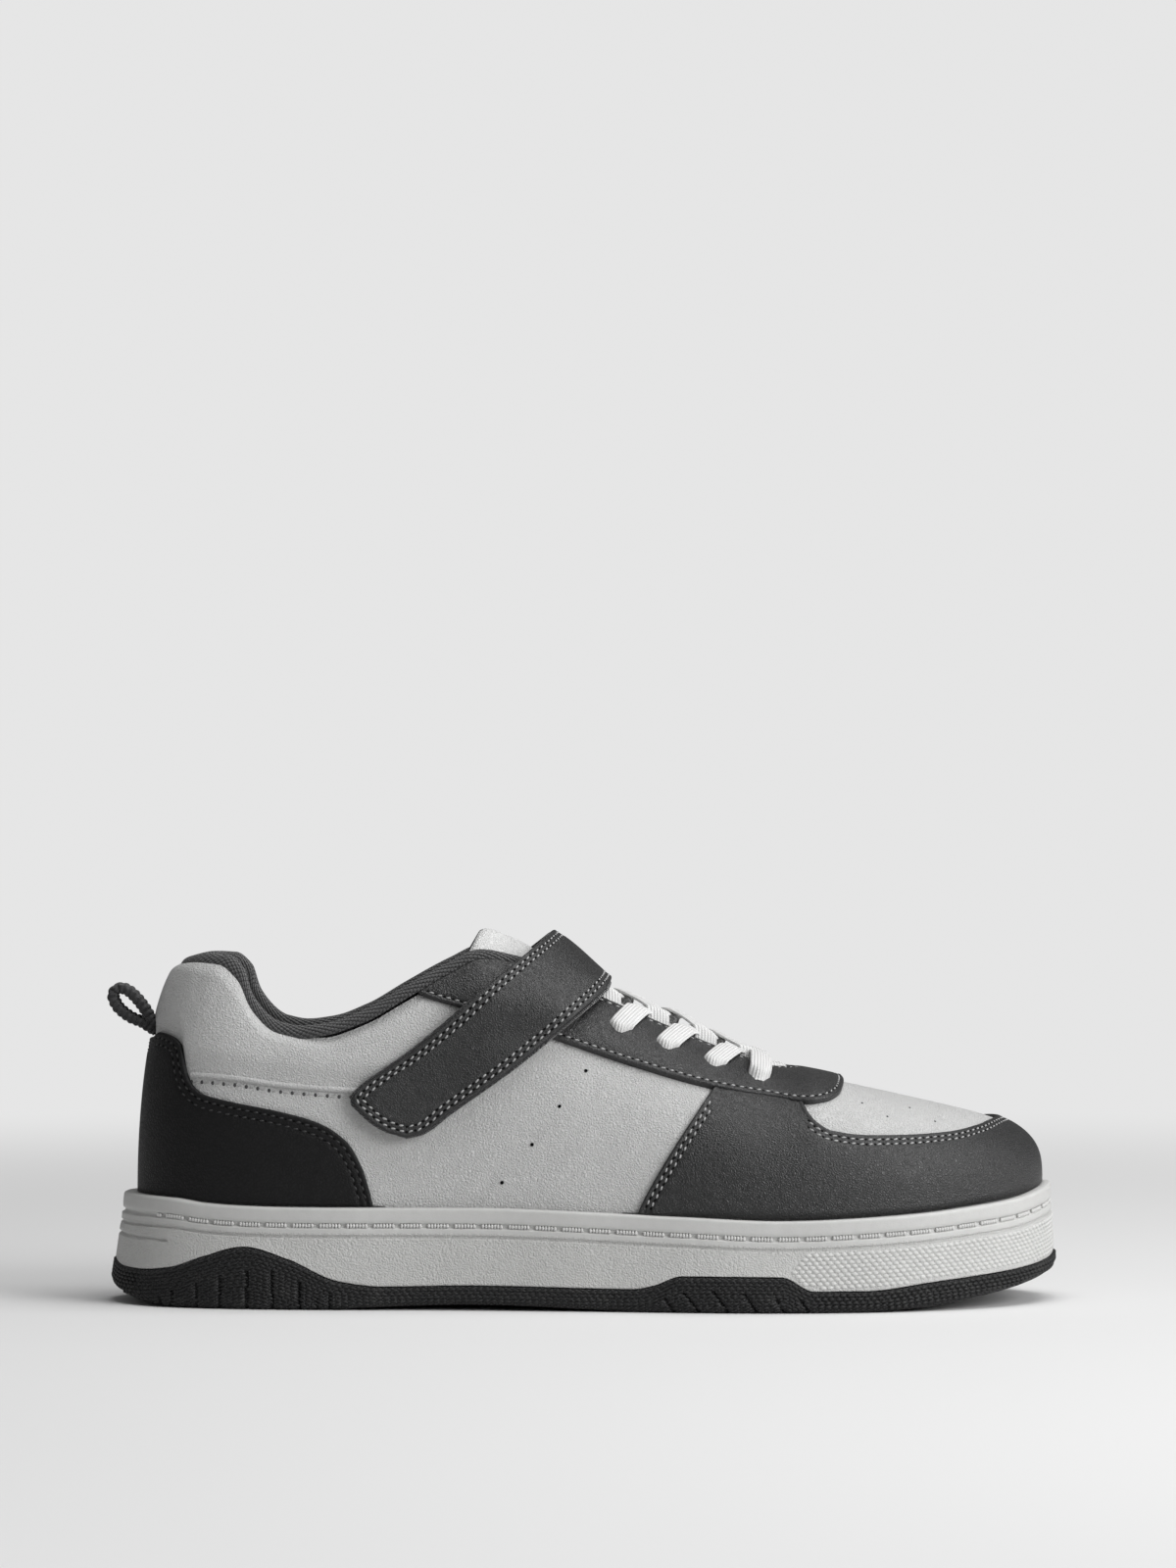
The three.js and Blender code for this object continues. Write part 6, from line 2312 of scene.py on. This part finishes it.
@dataclass
class QuarterSeam:
    """The piped seam between counter and strap, with its row of stitches."""

    side: Side
    radius: float = 0.75

    def line(self, drop: float) -> tuple[Array, Array]:
        """The seam's line on the face.

        Args:
            drop: millimetres below its upper edge.

        Returns:
            Turns and rises.
        """
        rows = [EdgeRow(r.along, r.up - drop / LAST.heel_height) for r in SEAM_EDGE]
        edge = side_edge(rows)
        around = np.linspace(0.135, 0.335, 260)
        turn = around if self.side is Side.LATERAL else 2 - around
        rise = LAST.rise_at(turn, edge)
        x = LAST.point(turn, rise)[..., 0] / LAST.length
        keep = (x > 0.061) & (x < 0.252)
        return turn[keep], rise[keep]

    def build(self, palette: Palette, stitching: Stitching) -> None:
        """Makes the piping as a half-round on the leather, and the stitches under it.

        Args:
            palette: the shoe's finishes.
            stitching: the thread.
        """
        turn, rise = self.line(0.8)
        base = LAST.lifted(turn, rise, 0.25)
        normal = LAST.normal(turn, rise)
        aside = unit(np.cross(normal, tangents(base)))
        angle = np.linspace(0, 2 * np.pi, 14, endpoint=False)
        ring = aside[:, None] * np.cos(angle)[None, :, None] * self.radius
        ring = ring + normal[:, None] * np.sin(angle)[None, :, None] * self.radius * 0.95
        points = base[:, None] + ring
        work = grid(points, wrap_columns=True).closed_out()
        name = self.side.name.lower()
        piece(f"quarter_piping_{name}", work, [palette.white_leather],
              [f"quarter_seam_{name}"])
        turn, rise = self.line(2.6)
        row = stitching.row(LAST.lifted(turn, rise, 0.05), LAST.normal(turn, rise), 0.0, pitch=3.1)
        # the needle holes get grey discs of painted shade
        stitching.sew(f"quarter_stitches_{name}", [row], palette.white_thread, palette.grey_hole_shade)


class Studio:
    """Floor, light and camera, as the photograph has them."""

    distance: float = 1.6
    height: float = 0.1378
    aside: float = 0.0013
    long_side: float = 0.42
    backdrop: float = 0.79
    backdrop_light: float = 0.19

    def floor(self) -> None:
        """A pale sweep: flat under the shoe, then a quarter round up to a wall far behind."""
        flat = np.linspace(-3.0, 3.0, 20)
        bent = np.linspace(0, np.pi / 2, 24)[1:]
        radius = 2.0
        y = np.concatenate([flat, 3.0 + radius * np.sin(bent), [5.0]])
        z = np.concatenate([0 * flat, radius * (1 - np.cos(bent)), [7.0]])
        x = np.linspace(-5, 5, 12)
        points = np.stack(np.broadcast_arrays(x[None, :], y[:, None], z[:, None]), axis=-1)
        mesh = bpy.data.meshes.new("studio_floor")
        mesh.from_pydata(points.reshape(-1, 3).tolist(), [], grid_faces(*points.shape[:2])[:, ::-1].tolist())
        mesh.polygons.foreach_set("use_smooth", np.ones(len(mesh.polygons), bool))
        mesh.materials.append(self.floor_material())
        made = bpy.data.objects.new("studio_floor", mesh)
        bpy.context.scene.collection.objects.link(made)

    def floor_material(self) -> bpy.types.Material:
        """Matt and pale round the shoe, and evenly lit by itself further off, so that no horizon shows."""
        material = bpy.data.materials.new("pale_floor")
        material.use_nodes = True
        canvas = Canvas(material.node_tree)
        shader = material.node_tree.nodes["Principled BSDF"]
        place = canvas.place()
        tone = canvas.noise(place, 1.5, 2.0)
        far = canvas.node("ShaderNodeVectorMath", operation="LENGTH")
        canvas.feed(far.inputs[0], place)
        away = canvas.remap(far.outputs["Value"], 0.3, 0.95)
        near_colour = canvas.blend(tone, (0.71, 0.71, 0.71), (0.73, 0.73, 0.73))
        canvas.feed(shader.inputs["Base Color"], canvas.blend(away, near_colour, (0.0, 0.0, 0.0)))
        canvas.feed(shader.inputs["Emission Strength"], canvas.math("MULTIPLY", self.glow(canvas), away))
        shader.inputs["Emission Color"].default_value = (1, 1, 1, 1)
        shader.inputs["Roughness"].default_value = 0.9
        shader.inputs["Specular IOR Level"].default_value = 0.0
        return material

    def glow(self, canvas: Canvas) -> bpy.types.NodeSocket:
        """Strength of the backdrop: pale to the camera, lower as a light on the shoe."""
        seen = canvas.node("ShaderNodeLightPath").outputs["Is Camera Ray"]
        more = canvas.math("MULTIPLY", seen, self.backdrop - self.backdrop_light)
        return canvas.math("ADD", self.backdrop_light, more)

    def light(self, name: str, place: Sequence[float], aim: Sequence[float], size: float,
              power: float) -> None:
        """A square soft light.

        Args:
            name: its name.
            place: where it stands, in metres.
            aim: what it faces.
            size: its side, in metres.
            power: watts.
        """
        data = bpy.data.lights.new(name, "AREA")
        data.size = size
        data.energy = power
        made = bpy.data.objects.new(name, data)
        made.location = place
        direction = Vector(aim) - Vector(place)
        made.rotation_euler = direction.to_track_quat("-Z", "Y").to_euler()
        bpy.context.scene.collection.objects.link(made)

    def build(self) -> None:
        """Sets the floor, the lights, the sky and the camera."""
        self.floor()
        self.light("key_toe_side", (1.05, -0.8, 0.62), (0.04, 0, 0.04), 0.8, 15)
        self.light("top_soft", (0.35, -0.1, 1.5), (0.05, 0, 0), 1.2, 16.5)
        self.light("low_toe_fill", (0.92, 0.3, 0.15), (0.12, 0, 0.01), 0.4, 0.9)
        world = bpy.data.worlds.new("pale_sky")
        world.use_nodes = True
        canvas = Canvas(world.node_tree)
        sky = world.node_tree.nodes["Background"]
        sky.inputs["Color"].default_value = (1, 1, 1, 1)
        canvas.feed(sky.inputs["Strength"], self.glow(canvas))
        bpy.context.scene.world = world
        bpy.context.scene.view_settings.view_transform = "Standard"
        camera = bpy.data.cameras.new("photo_camera")
        camera.sensor_width = 36
        camera.lens = 36 * self.distance / self.long_side
        camera.clip_start = 0.05
        camera.clip_end = 50
        made = bpy.data.objects.new("photo_camera", camera)
        made.location = (self.aside, -self.distance, self.height)
        made.rotation_euler = (math.pi / 2, 0, 0)
        bpy.context.scene.collection.objects.link(made)
        bpy.context.scene.camera = made


def perforations(palette: Palette) -> None:
    """Sets dark discs for the small air holes of the quarter and the vamp, on both sides: the dark lining seen
    through each hole and painted shade inside it.

    Args:
        palette: the shoe's finishes.
    """
    turn, rise = LAST.seen_at(*np.array(HOLES).T)
    parts = []
    for chosen, size in ((slice(0, 4), 1.0), (slice(4, 8), 0.6)):
        for a in (turn[chosen], 2 - turn[chosen]):
            normal = LAST.normal(a, rise[chosen])
            place = LAST.lifted(a, rise[chosen], Upper().swell(a, rise[chosen]) + 0.06)
            ahead = unit(np.cross(normal, [0.0, 0, 1]))
            # each disc is near-black: the lining's dark colour plus painted shade of the hole
            parts.append(scatter(place, ahead, normal, (size, size, 0.24), 6, 10))
    piece("air_hole_shade_discs", joined(parts), [palette.hole_shade])


def main() -> None:
    """Builds the shoe's sub-assemblies in order."""
    logging.basicConfig(level=logging.INFO, format="%(message)s")
    make_groups()
    palette = Palette()
    stitching = Stitching()
    Studio().build()
    Upper().build(palette)
    counter = Panel("heel_counter_leather", "heel_counter", COUNTER_EDGE, -0.352, 0.352,
                    finish="heel_leather")
    mudguard = Panel("toe_mudguard_leather", "toe_mudguard", MUDGUARD_EDGE, 0.522, 1.478, columns=560,
                     seams=(1.4, 2.7), sewn=((-1.0, 0.632), (0.737, 2.0)))
    eyestay = Panel("eyestay_leather", "eyestay", EYESTAY_EDGE, 0.36, 0.79, to_top=True, seams=(1.4,),
                    base=0.65, skirt=0.3)
    for panel in (counter, mudguard, eyestay):
        panel.build(palette)
    for side in Side:
        QuarterSeam(side).build(palette, stitching)
    CollarBinding().build(palette)
    Tongue().build(palette)
    Strap().build(palette, stitching)
    Laces().build(palette)
    PullLoop().build(palette)
    Midsole().build(palette)
    Outsole().build(palette)
    Insole().build(palette)
    start = eyestay.meets(0.36, 0.42)
    rows = eyestay.seam_rows((1.4,), start + 0.004, 0.742, stitching)
    rows += eyestay.seam_rows((1.4,), 1.258, 1.996 - start, stitching)
    sewn = (
        ("counter_stitches", counter.seam_rows((1.5, 3.3), -0.349, 0.349, stitching), palette.dark_thread),
        ("mudguard_stitches", mudguard.seam_rows((1.4, 2.7), 0.524, 1.476, stitching), palette.light_thread),
        ("eyestay_stitches", rows, palette.light_thread),
        ("throat_stitches", eyestay.throat_rows(1.3, stitching), palette.light_thread),
    )
    for name, lines, thread in sewn:
        # the needle holes get dark discs of painted shade
        stitching.sew(name, lines, thread, palette.hole_shade)
    perforations(palette)


if __name__ == "__main__":
    main()
